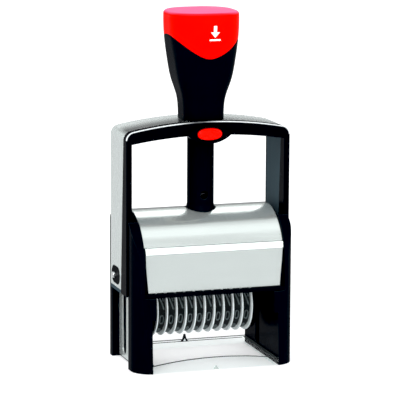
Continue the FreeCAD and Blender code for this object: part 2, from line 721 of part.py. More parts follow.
# upright slot for the pivot axle, through the cheek and the side plate
axle_slot = fuse(
    "axle_slot",
    box("slot_run", "cheek_in - 2", "plate_out + 2",
        "pivot_y - slot_half", "pivot_y + slot_half", "slot_low_z", "slot_top_z"),
    *[round_bar(f"slot_{end}_end", "slot_half", "x", "cheek_in - 2", "plate_out + 2",
                y="pivot_y", z=f"slot_{end}_z") for end in ("low", "top")],
)

DECK_SCREWS = (("front", "-deck_screw_front"), ("rear", "deck_screw_rear"))
cheek_holes = []
for spot, y in DECK_SCREWS:
    at = {"y": y, "z": "deck_screw_z"}
    cheek_holes += [
        round_bar("cheek_screw_hole_" + spot, "screw_rad + run_gap", "x",
                  "cheek_in - 1", "cheek_wall + 1", **at),
        round_bar("cheek_screw_bore_" + spot, "screw_head_rad + run_gap", "x",
                  "deck_head_in - run_gap", "cheek_wall + 1", **at),
    ]
piece_pair("{}_cheek", cut("cheek_right", cheek_raw, cam_groove, axle_slot, *cheek_holes),
           "cheek_left")

# ---- steel side plates in the channels, inside the arch legs
plate_blank = box("plate_blank", "plate_in", "plate_out", "-channel_front + plate_gap",
                  "channel_rear - plate_gap", "plate_low", "plate_top")
piece_pair("{}_side_plate", cut("plate_right", plate_blank, axle_slot), "plate_left")

# ---- deck across the cheeks, with blocks for its screws
deck_solid = fuse(
    "deck_solid",
    box("deck_sheet", "-fit_half", "fit_half", "-deck_front", "deck_rear",
        "deck_low", "deck_top"),
    *[box("deck_block_" + side, low, high, "-deck_front + block_inset",
          "deck_rear - block_inset", "block_low", "block_top")
      for side, low, high in sides("fit_half - block_long", "fit_half")],
)
deck_holes = [
    round_bar("deck_hole", "post_spigot_rad + seat_gap", "z", "deck_low - 2", "deck_top + 2")
]
shanks, heads = [], []
for spot, y in DECK_SCREWS:
    at = {"y": y, "z": "deck_screw_z"}
    for side, low, high in sides("deck_screw_tip", "deck_head_in"):
        shanks.append(round_bar(f"deck_screw_shank_{side}_{spot}", "screw_rad", "x",
                                low, high, **at))
    for side, low, high in sides("deck_head_in", "deck_head_out"):
        heads.append(round_bar(f"deck_screw_head_{side}_{spot}", "screw_head_rad", "x",
                               low, high, **at))
    for side, low, high in sides("deck_screw_tip - 0.5", "fit_half + 1"):
        deck_holes.append(round_bar(f"deck_screw_hole_{side}_{spot}",
                                    "screw_rad + seat_gap", "x", low, high, **at))
piece("top_deck", cut("deck", deck_solid, *deck_holes))
piece("housing_screws", group("deck_screws", *[
    fuse(f"deck_screw_{i}", shank, head)
    for i, (shank, head) in enumerate(zip(shanks, heads), start=1)
]))

# ---- front crossbar and rear panel
piece("front_crossbar", box("crossbar", "-bar_half", "bar_half", "-bar_front", "-bar_back",
                            "bar_low", "bar_top"))
piece("rear_panel", box("back_panel", "-fit_half", "fit_half", "back_front", "back_rear",
                        "ledge_z", "back_top"))

# ---- hood: one bent sheet with a hole for the post
hood_sheet = prism("hood_sheet", "YZ_Plane", "-hood_half", "hood_half", [
    ("-hood_front_y", "hood_front_z", "hood_rad", -1),
    ("rim_y", "hood_top", "hood_back_rad", -1),
    ("hood_back_y", "rim_back_z"),
    ("hood_back_in_y", "rim_back_z", "hood_back_in_rad", 1),
    ("rim_y", "hood_in_top", "hood_in_rad", 1),
    ("-hood_front_in_y", "hood_front_z"),
])
hood_hole = round_bar("hood_hole", "hood_hole_rad", "z", "deck_top + 4", "hood_top + 4")
piece("hood", cut("hood_cut", hood_sheet, hood_hole))

# ---- centre post, with a lock hole for either end of the stroke
post_solid = fuse(
    "post_solid",
    round_bar("post_shaft", "post_rad", "z", "deck_top + post_lift", "post_top"),
    round_bar("post_flange", "post_flange_rad", "z", "deck_top + post_lift", "post_floor"),
    round_bar("post_spigot", "post_spigot_rad", "z", "deck_low", "post_floor"),
    round_bar("post_flare", "flare_rad", "z", "flare_low", "flare_top", top_rad="post_rad"),
)
piece("centre_post", cut(
    "post", post_solid,
    round_bar("post_bore_tool", "post_bore", "z", "post_floor", "post_top + 1"),
    *[round_bar("post_lock_" + level, "stem_hole_rad", "y", "-post_rad - 2",
                "-post_bore + 1.5", z=z)
      for level, z in (("high", "button_z"), ("low", "button_z - stroke"))],
))

# ---- main spring inside the post
piece("main_spring", coil("spring", "spring_rad", "spring_wire", "spring_pitch",
                          "spring_long", "z", ("0", "0", "spring_low")))

# ---- clear frame that stands on the paper
clear_front = prism("clear_front_wall", "XZ_Plane", "-clear_front", "-clear_front_in", [
    ("-fit_half", "0"),
    ("fit_half", "0"),
    ("fit_half", "clear_high", "clear_arch_rad", 1),
    ("-fit_half", "clear_high"),
])
piece("clear_base", fuse(
    "clear_frame", clear_front,
    box("clear_rear_wall", "-fit_half", "fit_half", "clear_rear_in", "clear_rear",
        "0", "clear_rear_high"),
    *[box("clear_" + side, low, high, "-clear_front_in - 0.5", "clear_rear_in + 0.5",
          "0", "clear_side_high")
      for side, low, high in sides("clear_side_in", "fit_half")],
))

# ================================================================ pad drawer
# ---- front panel: its side section shared with its front view, and a tongue behind
panel_side = prism("panel_section", "YZ_Plane", "-panel_top_half - 1", "panel_top_half + 1", [
    ("-panel_back", "panel_low"),
    ("-panel_back", "panel_bend_z"),
    ("-panel_back_top", "panel_top"),
    ("-ridge_lip", "panel_top"),
    ("-ridge_face", "ridge_edge"),
    ("-panel_neck", "ridge_low"),
    ("-panel_neck", "panel_neck_low"),
    ("-panel_face", "panel_face_top"),
    ("-panel_face", "panel_face_low"),
    ("-panel_foot", "panel_low"),
])
panel_view = prism("panel_elevation", "XZ_Plane", "-ridge_face - 2", "-panel_back + 3", [
    ("-panel_low_half", "panel_low"),
    ("panel_low_half", "panel_low"),
    ("panel_mid_half", "panel_mid_z"),
    ("panel_top_half", "panel_top"),
    ("-panel_top_half", "panel_top"),
    ("-panel_mid_half", "panel_mid_z"),
])
piece("pad_front_panel", fuse(
    "panel", common("panel_sheet", panel_side, panel_view),
    box("panel_tongue", "-tongue_half", "tongue_half", "-tongue_front", "-tray_front",
        "tongue_low", "tongue_top"),
))

# ---- tray and ink pad
piece("pad_tray", cut(
    "tray",
    box("tray_block", "-tray_half", "tray_half", "-tray_front", "tray_rear",
        "tray_low", "tray_top"),
    box("tray_well", "-pad_half - run_gap", "pad_half + run_gap", "-pad_front - run_gap",
        "pad_rear + run_gap", "tray_low - 1", "pad_top + run_gap"),
))
piece("ink_pad", box("pad_block", "-pad_half", "pad_half", "-pad_front", "pad_rear",
                     "pad_low", "pad_top"))

# ================================================================ arch
# whole arch, and the region inside its steel band
arch = prism("arch_solid", "XZ_Plane", "-arch_front", "arch_rear", [
    ("arch_half", "arch_bottom"),
    ("arch_half", "arch_corner_z", "arch_corner_rad", 1),
    ("arch_corner_x", "arch_shoulder_z", "arch_top_rad", 1),
    ("-arch_corner_x", "arch_shoulder_z", "arch_corner_rad", 1),
    ("-arch_half", "arch_corner_z"),
    ("-arch_half", "arch_bottom"),
    ("-arch_half + arch_wall", "arch_bottom"),
    ("-arch_half + arch_wall", "arch_under_z", "arch_under_rad", -1),
    ("arch_half - arch_wall", "arch_under_z"),
    ("arch_half - arch_wall", "arch_bottom"),
])
arch_inner = prism("arch_inner", "XZ_Plane", "-arch_front - 2", "arch_rear + 2", [
    ("arch_half - band_thick", "arch_bottom - 2"),
    ("arch_half - band_thick", "arch_corner_z", "band_corner_rad", 1),
    ("band_corner_x", "band_corner_z", "arch_top_rad - band_thick", 1),
    ("-band_corner_x", "band_corner_z", "band_corner_rad", 1),
    ("-arch_half + band_thick", "arch_corner_z"),
    ("-arch_half + band_thick", "arch_bottom - 2"),
])


def front_zone(name, shift):
    """The part of the arch that the front trim takes; its rear edge slopes."""
    return prism(name, "YZ_Plane", "-arch_half - 4", "arch_half + 4", [
        ("-arch_front - 4", "trim_low_z"),
        (f"-trim_low_y + {shift}", "trim_low_z"),
        (f"-trim_top_y + {shift}", "trim_bend_z"),
        (f"-trim_top_y + {shift}", "arch_shoulder_z + 6"),
        ("-arch_front - 4", "arch_shoulder_z + 6"),
    ])


def arch_zone(name, front, low, high):
    """A block as wide as the arch, from a front face to beyond its rear."""
    return box(name, "-arch_half - 2", "arch_half + 2", front, "arch_rear + 2", low, high)


trim_zone = front_zone("trim_zone", "0")
trim_zone_back = front_zone("trim_zone_back", "trim_gap")

# ---- four screws that hold the grip to the arch, with their holes and head seats
arch_screws, arch_screw_holes, arch_screw_seats = [], [], []
for corner, x_sign, y_sign in (("a", "", ""), ("b", "-", ""), ("c", "-", "-"), ("d", "", "-")):
    at = {"x": x_sign + "arch_screw", "y": y_sign + "arch_screw"}
    arch_screw_holes.append(round_bar(
        "arch_screw_hole_" + corner, "screw_rad + run_gap", "z",
        "arch_screw_low - 1", "arch_hole_top", **at))
    arch_screw_seats.append(round_bar(
        "arch_screw_seat_" + corner, "arch_screw_head + arch_head_gap", "z",
        "arch_screw_low - 2", "arch_screw_seat", **at))
    arch_screws.append(fuse(
        "arch_screw_" + corner,
        round_bar("arch_screw_shank_" + corner, "screw_rad", "z",
                  "arch_screw_low", "arch_screw_top", **at),
        round_bar("arch_screw_head_" + corner, "arch_screw_head", "z",
                  "arch_screw_low", "arch_screw_seat", **at),
    ))
screw_holes = fuse("arch_screw_holes", *arch_screw_holes)
screw_seats = fuse("arch_screw_seats", *arch_screw_seats)
piece("arch_screws", group("arch_screw_group", *arch_screws))

guide_hole = round_bar("guide_hole", "guide_out", "z", "arch_under_z - 4",
                       "arch_shoulder_z + 6")
bush_holes = [
    stadium("bush_hole_" + side, "YZ_Plane", low, high,
            "pivot_y", "pivot_z", "bush_run", "bush_rad")
    for side, low, high in sides("arch_half - 4", "arch_half + 2")
]

# ---- steel band: the outer skin behind the front trim
piece("steel_band", cut(
    "band_steel", cut("band_raw", arch, arch_inner), trim_zone_back,
    arch_zone("foot_zone", "-arch_front - 2", "arch_bottom - 4", "band_bottom"),
    guide_hole, screw_holes, *bush_holes,
))

# ---- core inside the band, with a lip below the band's ends
core_raw = common("core_raw", arch, arch_inner)
core_lip = common("core_lip", arch, arch_zone(
    "lip_zone", "-arch_front - 2", "arch_bottom - 4", "band_bottom - lip_gap"))
piece("arch_core", cut(
    "core", fuse("core_solid", core_raw, core_lip), trim_zone_back,
    arch_zone("back_zone", "back_plate_y - back_plate_gap", "band_bottom",
              "arch_shoulder_z + 6"),
    guide_hole, screw_holes, screw_seats, *bush_holes,
    round_bar("core_stem_hole", "stem_hole_rad", "y", "-trim_top_y - 1",
              "-guide_out + 1.5", z="button_z"),
))

# ---- rear trim plate
piece("rear_bezel", common("core_rear", arch, arch_inner, arch_zone(
    "rear_zone", "back_plate_y", "band_bottom", "arch_shoulder_z + 6")))

# ---- front trim with the boss round the button
boss = prism("boss_solid", "XZ_Plane", "-boss_front", "-boss_back", [
    ("-boss_half", "boss_mid_z", "boss_rad", 1),
    ("boss_half", "boss_mid_z", "boss_rad", 1),
])
button_well = stadium("button_well", "XZ_Plane", "-button_front - 2", "-button_floor", "0",
                      "button_z", "button_half + button_gap", "button_rad + button_gap")
piece("front_bezel", cut(
    "trim", fuse("trim_solid", common("trim_front", arch, trim_zone), boss), button_well,
    round_bar("stem_hole", "stem_hole_rad", "y", "-button_floor - 1", "-trim_top_y + 2",
              z="button_z"),
    round_bar("coil_pocket", "coil_pocket_rad", "y", "-button_floor - 1",
              "-coil_pocket_floor", z="button_z"),
    screw_seats,
))

# ---- lock button: hollow-backed head and stem
button_head = stadium("button_head", "XZ_Plane", "-button_front", "-button_back", "0",
                      "button_z", "button_half", "button_rad")
button_pocket = round_bar("button_pocket", "button_rad - button_wall", "y",
                          "-button_back - head_pocket", "-button_back + 1", z="button_z")
piece("lock_button", fuse(
    "button_raw", cut("button_hollow", button_head, button_pocket),
    round_bar("button_stem", "stem_rad", "y", "-button_back - head_pocket - 0.5",
              "-button_tip", z="button_z"),
))
piece("lock_spring", coil(
    "small_coil", "coil_rad", "coil_wire", "coil_pitch", "coil_long", "y",
    ("0", "-coil_pocket_floor - coil_long - coil_wire", "button_z"), square=True))

# ---- bush that slides on the post
piece("post_bush", cut(
    "guide_bush",
    round_bar("guide_blank", "guide_out", "z", "guide_low", "guide_top"),
    round_bar("guide_bore", "post_rad + run_gap", "z", "guide_low - 1", "guide_top + 1"),
    round_bar("guide_lock_hole", "stem_hole_rad", "y", "-guide_out - 1", "0", z="button_z"),
))

# ---- side bushes that carry the pivot axle in the legs
piece_pair("{}_axle_bush", cut(
    "bush_right",
    stadium("bush_right_solid", "YZ_Plane", "bush_in", "bush_out",
            "pivot_y", "pivot_z", "bush_run", "bush_rad"),
    round_bar("bush_bore_right", "pivot_rad + run_gap", "x", "bush_in - 1", "bush_out + 1",
              y="pivot_y", z="pivot_z"),
), "bush_left")

# ================================================================ handle
# half width and height of each section, from the foot up
GRIP_SECTIONS = [(f"grip_half_{n}", f"grip_z_{n}") for n in range(1, 9)]
CAPPED_SECTIONS = GRIP_SECTIONS[3:]


def square_sketch(body, name, half, z):
    """A rounded square at a height."""
    sketch = sketch_on(body, name, "XY_Plane", z)
    rad = f"({half}) * grip_round"
    flat = f"({half}) - ({half}) * grip_round"
    draw(sketch, [
        (f"-({flat})", f"-({half})"),
        (flat, f"-({half})", rad, 1),
        (half, f"-({flat})"),
        (half, flat, rad, 1),
        (flat, half),
        (f"-({flat})", half, rad, 1),
        (f"-({half})", flat),
        (f"-({half})", f"-({flat})", rad, 1),
    ])
    return sketch


def loft(name, sections, inset=""):
    """A smooth loft through rounded squares, each half width changed by the inset."""
    body = doc.addObject("PartDesign::Body", name)
    sketches = [square_sketch(body, f"{name}_{i}", half + inset, z)
                for i, (half, z) in enumerate(sections)]
    feature = body.newObject("PartDesign::AdditiveLoft", name + "_loft")
    feature.Profile = sketches[0]
    feature.Sections = sketches[1:]
    feature.Ruled = False
    return body


def cap_zone(name, lift):
    """Everything above the cap's curved lower edge, right through in Y."""
    centre = f"cap_low + cap_line_rad + {lift}"
    return fuse(
        name,
        round_bar(name + "_tongue", "cap_line_rad", "y", "-20", "20", z=centre),
        box(name + "_above", "-cap_line_rad", "cap_line_rad", "-20", "20",
            centre, "crown_top + 8"),
    )


def handle_zone(name, low, high):
    """A block wider than the handle between two heights."""
    return box(name, "-20", "20", "-20", "20", low, high)


grip_outer = loft("grip_outer", GRIP_SECTIONS)
grip_inner = loft("grip_inner", CAPPED_SECTIONS, " - cap_wall")
grip_inner_gap = loft("grip_inner_gap", CAPPED_SECTIONS, " - cap_wall + run_gap")
dome = doc.addObject("Part::Sphere", "crown_ball")
dome.setExpression("Radius", bound("crown_rad"))
dome.setExpression("Placement.Base.z", bound("crown_top - crown_rad"))
crowned = common("grip_crowned", grip_outer, dome)

# ---- cap: a shell over the upper grip
cap_void = cut("cap_void", grip_inner_gap, handle_zone(
    "core_top_gap_zone", "grip_core_top + run_gap", "crown_top + 8"))
cap_shell = common("cap_shell", crowned, cap_zone("cap_zone", "cap_gap"))
piece("handle_cap", cut("cap", cap_shell, cap_void))

# ---- grip: full below the cap's edge, narrower inside the cap
grip_lower = cut("grip_lower", crowned, cap_zone("cap_zone_low", "0"))
grip_upper = cut("grip_upper", grip_inner, handle_zone(
    "core_top_zone", "grip_core_top", "crown_top + 8"))
piece("handle_grip", cut(
    "grip", fuse("grip_solid", grip_lower, grip_upper), arch,
    round_bar("grip_bore_tool", "grip_bore", "z", "grip_z_1 - 1", "grip_roof"),
    round_bar("grip_rod_hole", "rod_rad + seat_gap", "z", "grip_roof - 1", "grip_nut_z + 1"),
    round_bar("grip_nut_recess", "nut_rad + nut_gap", "z", "grip_nut_z", "crown_top"),
    screw_holes,
    handle_zone("grip_foot_zone", "grip_z_1 - 3", "grip_foot_z"),
))

# ---- guide rod and its nut
piece("guide_rod", round_bar("rod", "rod_rad", "z", "rod_low", "rod_top"))
nut_blank = doc.addObject("Part::Prism", "nut_blank")
nut_blank.Polygon = 6
nut_blank.setExpression("Circumradius", bound("nut_rad"))
nut_blank.setExpression("Height", bound("nut_top - grip_nut_z"))
nut_blank.setExpression("Placement.Base.z", bound("grip_nut_z"))
piece("rod_nut", cut("nut", nut_blank, round_bar(
    "nut_hole", "rod_rad + seat_gap", "z", "grip_nut_z - 1", "nut_top + 1")))

# ================================================================ cradle
# Everything here turns about the pivot, so each bar runs along X at pivot_y.


def cross_bar(name, rad, start, end, z):
    return round_bar(name, rad, "x", start, end, y="pivot_y", z=z)


# ---- side plates
cradle_blank = loop_prism("cradle_blank", "cradle_in", "cradle_out",
                          ("pivot_y", "wheel_z", "cradle_rad", "nose_z", "cradle_top_rad"))
piece_pair("cradle_{}_plate", cut("cradle_right", cradle_blank, *[
    cross_bar(f"cradle_{spot}_hole", f"{rad} + seat_gap", "cradle_in - 1", "cradle_out + 1", z)
    for spot, rad, z in (
        ("pivot", "pivot_rad", "pivot_z"),
        ("axle", "axle_rad", "wheel_z"),
        ("pin", "cam_rad", "pivot_z - cam_arm"),
        ("nose", "tenon_rad", "nose_z"),
    )
]), "cradle_left")

# ---- bridge bar with the printing nose, and the two axles
BETWEEN_PLATES = ("-cradle_in + end_gap", "cradle_in - end_gap")
ACROSS_PLATES = ("-cradle_out + end_gap", "cradle_out - end_gap")
piece("print_bridge", fuse(
    "bridge",
    cross_bar("bridge_nose", "nose_rad", *BETWEEN_PLATES, "nose_z"),
    box("bridge_web", *BETWEEN_PLATES, "pivot_y - nose_web", "pivot_y + nose_web",
        "nose_low", "nose_z"),
    cross_bar("bridge_tenon", "tenon_rad", *ACROSS_PLATES, "nose_z"),
))
piece("wheel_axle", cross_bar("figure_axle", "axle_rad", *ACROSS_PLATES, "wheel_z"))
piece("pivot_axle", cross_bar("main_axle", "pivot_rad", "-pivot_half", "pivot_half", "pivot_z"))

# ---- flip pins, and the rollers and clips on the pivot axle
piece("cam_pins", group("pins", *[
    cross_bar("pins_" + side, "cam_rad", low, high, "pivot_z - cam_arm")
    for side, low, high in sides("cam_pin_in", "cam_pin_out")
]))


def axle_rings(name, inner, outer, rad):
    """Two equal rings on the pivot axle, one at each side."""
    return group(name, *[
        cut(f"{name}_{side}_ring",
            cross_bar(f"{name}_{side}", rad, low, high, "pivot_z"),
            cross_bar(f"{name}_{side}_hole", "pivot_rad + seat_gap",
                      f"{low} - 1", f"{high} + 1", "pivot_z"))
        for side, low, high in sides(inner, outer)
    ])


piece("slot_rollers", axle_rings("rollers", "roller_in", "roller_out", "roller_rad"))
piece("axle_clips", axle_rings("clips", "clip_in", "clip_out", "clip_rad"))


def pitches(count):
    """A place along X, counted in wheel pitches from the middle of the row."""
    return f"({count}) * wheel_pitch"


# ---- comb: a back plate with one finger above each wheel
comb_fingers = []
for wheel in range(1, WHEELS + 1):
    middle = pitches(wheel - WHEELS / 2 - 0.5)
    comb_fingers.append(box(
        f"comb_finger_{wheel:02d}", f"{middle} - finger_half_x", f"{middle} + finger_half_x",
        "pivot_y - finger_half_y", "pivot_y + finger_half_y", "comb_tip", "comb_low + 0.2"))
piece("detent_spring", fuse(
    "comb",
    box("comb_back", *BETWEEN_PLATES, "pivot_y - comb_half", "pivot_y + comb_half",
        "comb_low", "comb_low + comb_thick"),
    *comb_fingers,
))

# ---- disc that closes the row of wheels at its right end
row_end = pitches(WHEELS / 2)
piece("end_disc", cut(
    "disc",
    cross_bar("disc_blank", "flange_rad", f"{row_end} - flange_wide / 2",
              f"{row_end} + flange_wide / 2", "wheel_z"),
    cross_bar("disc_bore", "axle_rad + run_gap", f"{row_end} - 3", f"{row_end} + 3", "wheel_z"),
))


# ---- figure wheels and their bands, numbered from the left
def figure_wheel(tag, left):
    """A drum with a flange at its left end, bored for the axle."""
    flange = cross_bar("flange_" + tag, "flange_rad", left, f"{left} + flange_wide", "wheel_z")
    drum = cross_bar("drum_" + tag, "drum_rad", f"{left} + flange_wide / 2",
                     f"{left} + wheel_pitch - wheel_gap", "wheel_z")
    hub = cross_bar("hub_" + tag, "axle_rad + run_gap", f"{left} - 1",
                    f"{left} + wheel_pitch + 1", "wheel_z")
    return cut("figure_wheel_" + tag, fuse("wheel_solid_" + tag, flange, drum), hub)


def figure_band(tag, middle):
    """A belt round the wheel and the printing nose."""
    return loop_prism(
        "figure_band_" + tag, f"{middle} - rubber_wide / 2", f"{middle} + rubber_wide / 2",
        ("pivot_y", "wheel_z", "band_in_low + rubber", "nose_z", "band_in_top + rubber"),
        ("pivot_y", "wheel_z", "band_in_low", "nose_z", "band_in_top"),
    )


for wheel in range(1, WHEELS + 1):
    tag = f"{wheel:02d}"
    left = pitches(wheel - WHEELS / 2 - 1) + " - flange_wide / 2"
    piece("wheel_" + tag, figure_wheel(tag, left))
    piece("band_" + tag, figure_band(tag, pitches(wheel - WHEELS / 2 - 0.5)))

doc.recompute()

# ---------------------------------------------------------------- check and write
faults = [f"{obj.Name}: {obj.State}" for obj in doc.Objects
          if "Invalid" in obj.State or "Error" in obj.State]
for label, obj in PIECES.items():
    if obj.Shape.isNull() or not obj.Shape.isValid() or not obj.Shape.Solids:
        faults.append(f"{label}: no valid solid")
if faults:
    raise RuntimeError("; ".join(faults))

os.makedirs("parts", exist_ok=True)
for label, obj in PIECES.items():
    obj.Shape.exportStep(os.path.join("parts", label + ".step"))
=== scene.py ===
# A self-inking number stamp: ten figure bands in a steel housing, a clear base, an ink pad
# and a black grip with a red cap. It stands on Z = 0 with its front toward -Y and its width
# along X. The scene is in metres. Shapes are written in millimetres and scaled by MM.
import json
import math

import bmesh
import bpy
import numpy as np
from mathutils import Matrix, Vector, noise
from mathutils.bvhtree import BVHTree


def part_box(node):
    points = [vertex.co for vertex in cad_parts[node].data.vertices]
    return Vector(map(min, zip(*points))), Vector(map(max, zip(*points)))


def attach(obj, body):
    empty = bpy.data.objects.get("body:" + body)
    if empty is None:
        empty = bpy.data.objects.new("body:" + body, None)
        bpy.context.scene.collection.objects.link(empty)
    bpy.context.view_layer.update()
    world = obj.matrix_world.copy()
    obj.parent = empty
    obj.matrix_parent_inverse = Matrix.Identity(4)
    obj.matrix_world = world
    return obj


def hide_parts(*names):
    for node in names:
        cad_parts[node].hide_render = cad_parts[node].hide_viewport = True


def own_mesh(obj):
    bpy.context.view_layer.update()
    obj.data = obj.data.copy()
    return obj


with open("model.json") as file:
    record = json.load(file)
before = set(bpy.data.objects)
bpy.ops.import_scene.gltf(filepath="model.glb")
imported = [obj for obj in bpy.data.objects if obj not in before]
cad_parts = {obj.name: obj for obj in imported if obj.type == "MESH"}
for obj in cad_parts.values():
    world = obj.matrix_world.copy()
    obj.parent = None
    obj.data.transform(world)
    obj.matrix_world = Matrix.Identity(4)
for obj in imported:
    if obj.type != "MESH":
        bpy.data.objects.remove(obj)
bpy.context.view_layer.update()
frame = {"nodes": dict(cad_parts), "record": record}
NODES = frame["nodes"]
MM = 0.001
scene = bpy.context.scene
coll = scene.collection


# ------------------------------------------------------------------ node helpers
class Nodes:
    """Builds one node tree. Helpers take and return sockets, so that calls can be nested."""

    def __init__(self, tree):
        self.tree = tree
        tree.nodes.clear()

    def node(self, kind, inputs=None, **settings):
        node = self.tree.nodes.new(kind)
        for name, value in settings.items():
            setattr(node, name, value)
        self.feed(node, inputs or {})
        return node

    def feed(self, node, inputs):
        """Link or set inputs, given as {name or index: socket or value}. Colours are RGB."""
        for key, value in inputs.items():
            socket = node.inputs[key]
            if isinstance(value, bpy.types.NodeSocket):
                self.tree.links.new(value, socket)
            elif socket.type == "RGBA":
                socket.default_value = (*value, 1.0)
            else:
                socket.default_value = value

    def separate(self, vector):
        return self.node("ShaderNodeSeparateXYZ", {"Vector": vector}).outputs

    def math(self, operation, *values, clamp=False):
        inputs = dict(enumerate(values))
        node = self.node("ShaderNodeMath", inputs, operation=operation, use_clamp=clamp)
        return node.outputs[0]

    def ramp(self, source, span, to=(0.0, 1.0)):
        """Maps span linearly onto to, held at both ends."""
        return self.node("ShaderNodeMapRange", {
            "Value": source, "From Min": span[0], "From Max": span[1],
            "To Min": to[0], "To Max": to[1],
        }).outputs["Result"]

    def mix(self, factor, first, second, **settings):
        inputs = {0: factor, 6: first, 7: second}
        return self.node("ShaderNodeMix", inputs, data_type="RGBA", **settings).outputs[2]

    def mix_shader(self, factor, first, second):
        return self.node("ShaderNodeMixShader", {0: factor, 1: first, 2: second}).outputs[0]

    def glossy_ray(self):
        return self.node("ShaderNodeLightPath").outputs["Is Glossy Ray"]


MATERIALS = {}


class Shader(Nodes):
    """A new material with a principled shader, textured in object coordinates (metres)."""

    def __init__(self, name):
        material = bpy.data.materials.new(name)
        material.use_nodes = True
        super().__init__(material.node_tree)
        MATERIALS[name] = material
        self.output = self.node("ShaderNodeOutputMaterial")
        self.principled = self.node("ShaderNodeBsdfPrincipled")
        self.surface(self.principled.outputs["BSDF"])
        self.coord = self.node("ShaderNodeTexCoord").outputs["Object"]

    def surface(self, shader):
        self.feed(self.output, {"Surface": shader})

    def set(self, inputs):
        self.feed(self.principled, inputs)

    def mapped(self, scale):
        inputs = {"Vector": self.coord, "Scale": scale}
        return self.node("ShaderNodeMapping", inputs).outputs["Vector"]

    def noise(self, scale, detail=4.0, rough=0.55):
        """Noise with scale cells per metre, one number or one for each axis."""
        return self.node("ShaderNodeTexNoise", {
            "Vector": self.mapped(scale if isinstance(scale, tuple) else (scale,) * 3),
            "Scale": 1.0, "Detail": detail, "Roughness": rough,
        }).outputs["Fac"]

    def normal(self):
        return self.node("ShaderNodeNewGeometry").outputs["Normal"]

    def facing(self):
        """0 where the surface faces the viewer, 1 where it is seen edge on."""
        return self.node("ShaderNodeLayerWeight", {"Blend": 0.5}).outputs["Facing"]

    def bump(self, height, distance, strength=1.0):
        """Bumps the principled shader; distance is in millimetres."""
        inputs = {"Strength": strength, "Distance": distance * MM, "Height": height}
        self.set({"Normal": self.node("ShaderNodeBump", inputs).outputs["Normal"]})


# ------------------------------------------------------------------ material kinds
def crest_line(shader, strength):
    """A pale line along the bezel's crest and round its two top corners, placed in metres.

    It stands in for a highlight.
    """
    corner_x, corner_z = 0.0312, 0.09417    # centre of the corner rounding
    corner_from_z = 0.0945                  # the corner part of the line starts above this
    crest_bend = 3.0157                     # the crest falls by this times x squared
    place = shader.separate(shader.coord)
    x, y, z = place["X"], place["Y"], place["Z"]
    math_node, ramp = shader.math, shader.ramp

    wide = math_node("ABSOLUTE", x)
    crest = math_node("MULTIPLY_ADD", math_node("MULTIPLY", x, x), crest_bend, z)
    along_crest = ramp(crest, span=(0.10052, 0.10078))
    out_x = math_node("MAXIMUM", math_node("SUBTRACT", wide, corner_x), 0.0)
    out_z = math_node("MAXIMUM", math_node("SUBTRACT", z, corner_z), 0.0)
    squares = (math_node("MULTIPLY", out_x, out_x), math_node("MULTIPLY", out_z, out_z))
    distance = math_node("SQRT", math_node("ADD", *squares))
    round_corner = ramp(distance, span=(0.00335, 0.0036))
    in_corner = math_node(
        "MULTIPLY",
        math_node("GREATER_THAN", wide, corner_x),
        math_node("GREATER_THAN", z, corner_from_z),
    )
    line = math_node("MAXIMUM", along_crest, math_node("MULTIPLY", round_corner, in_corner))
    front_edge = ramp(y, span=(-0.0102, -0.0106))
    # the line fades toward a place a little left of the middle
    off_middle = math_node("ABSOLUTE", math_node("ADD", x, 0.004))
    fade = ramp(off_middle, span=(0.002, 0.009), to=(0.12, strength))
    return math_node("MULTIPLY", math_node("MULTIPLY", line, front_edge), fade)


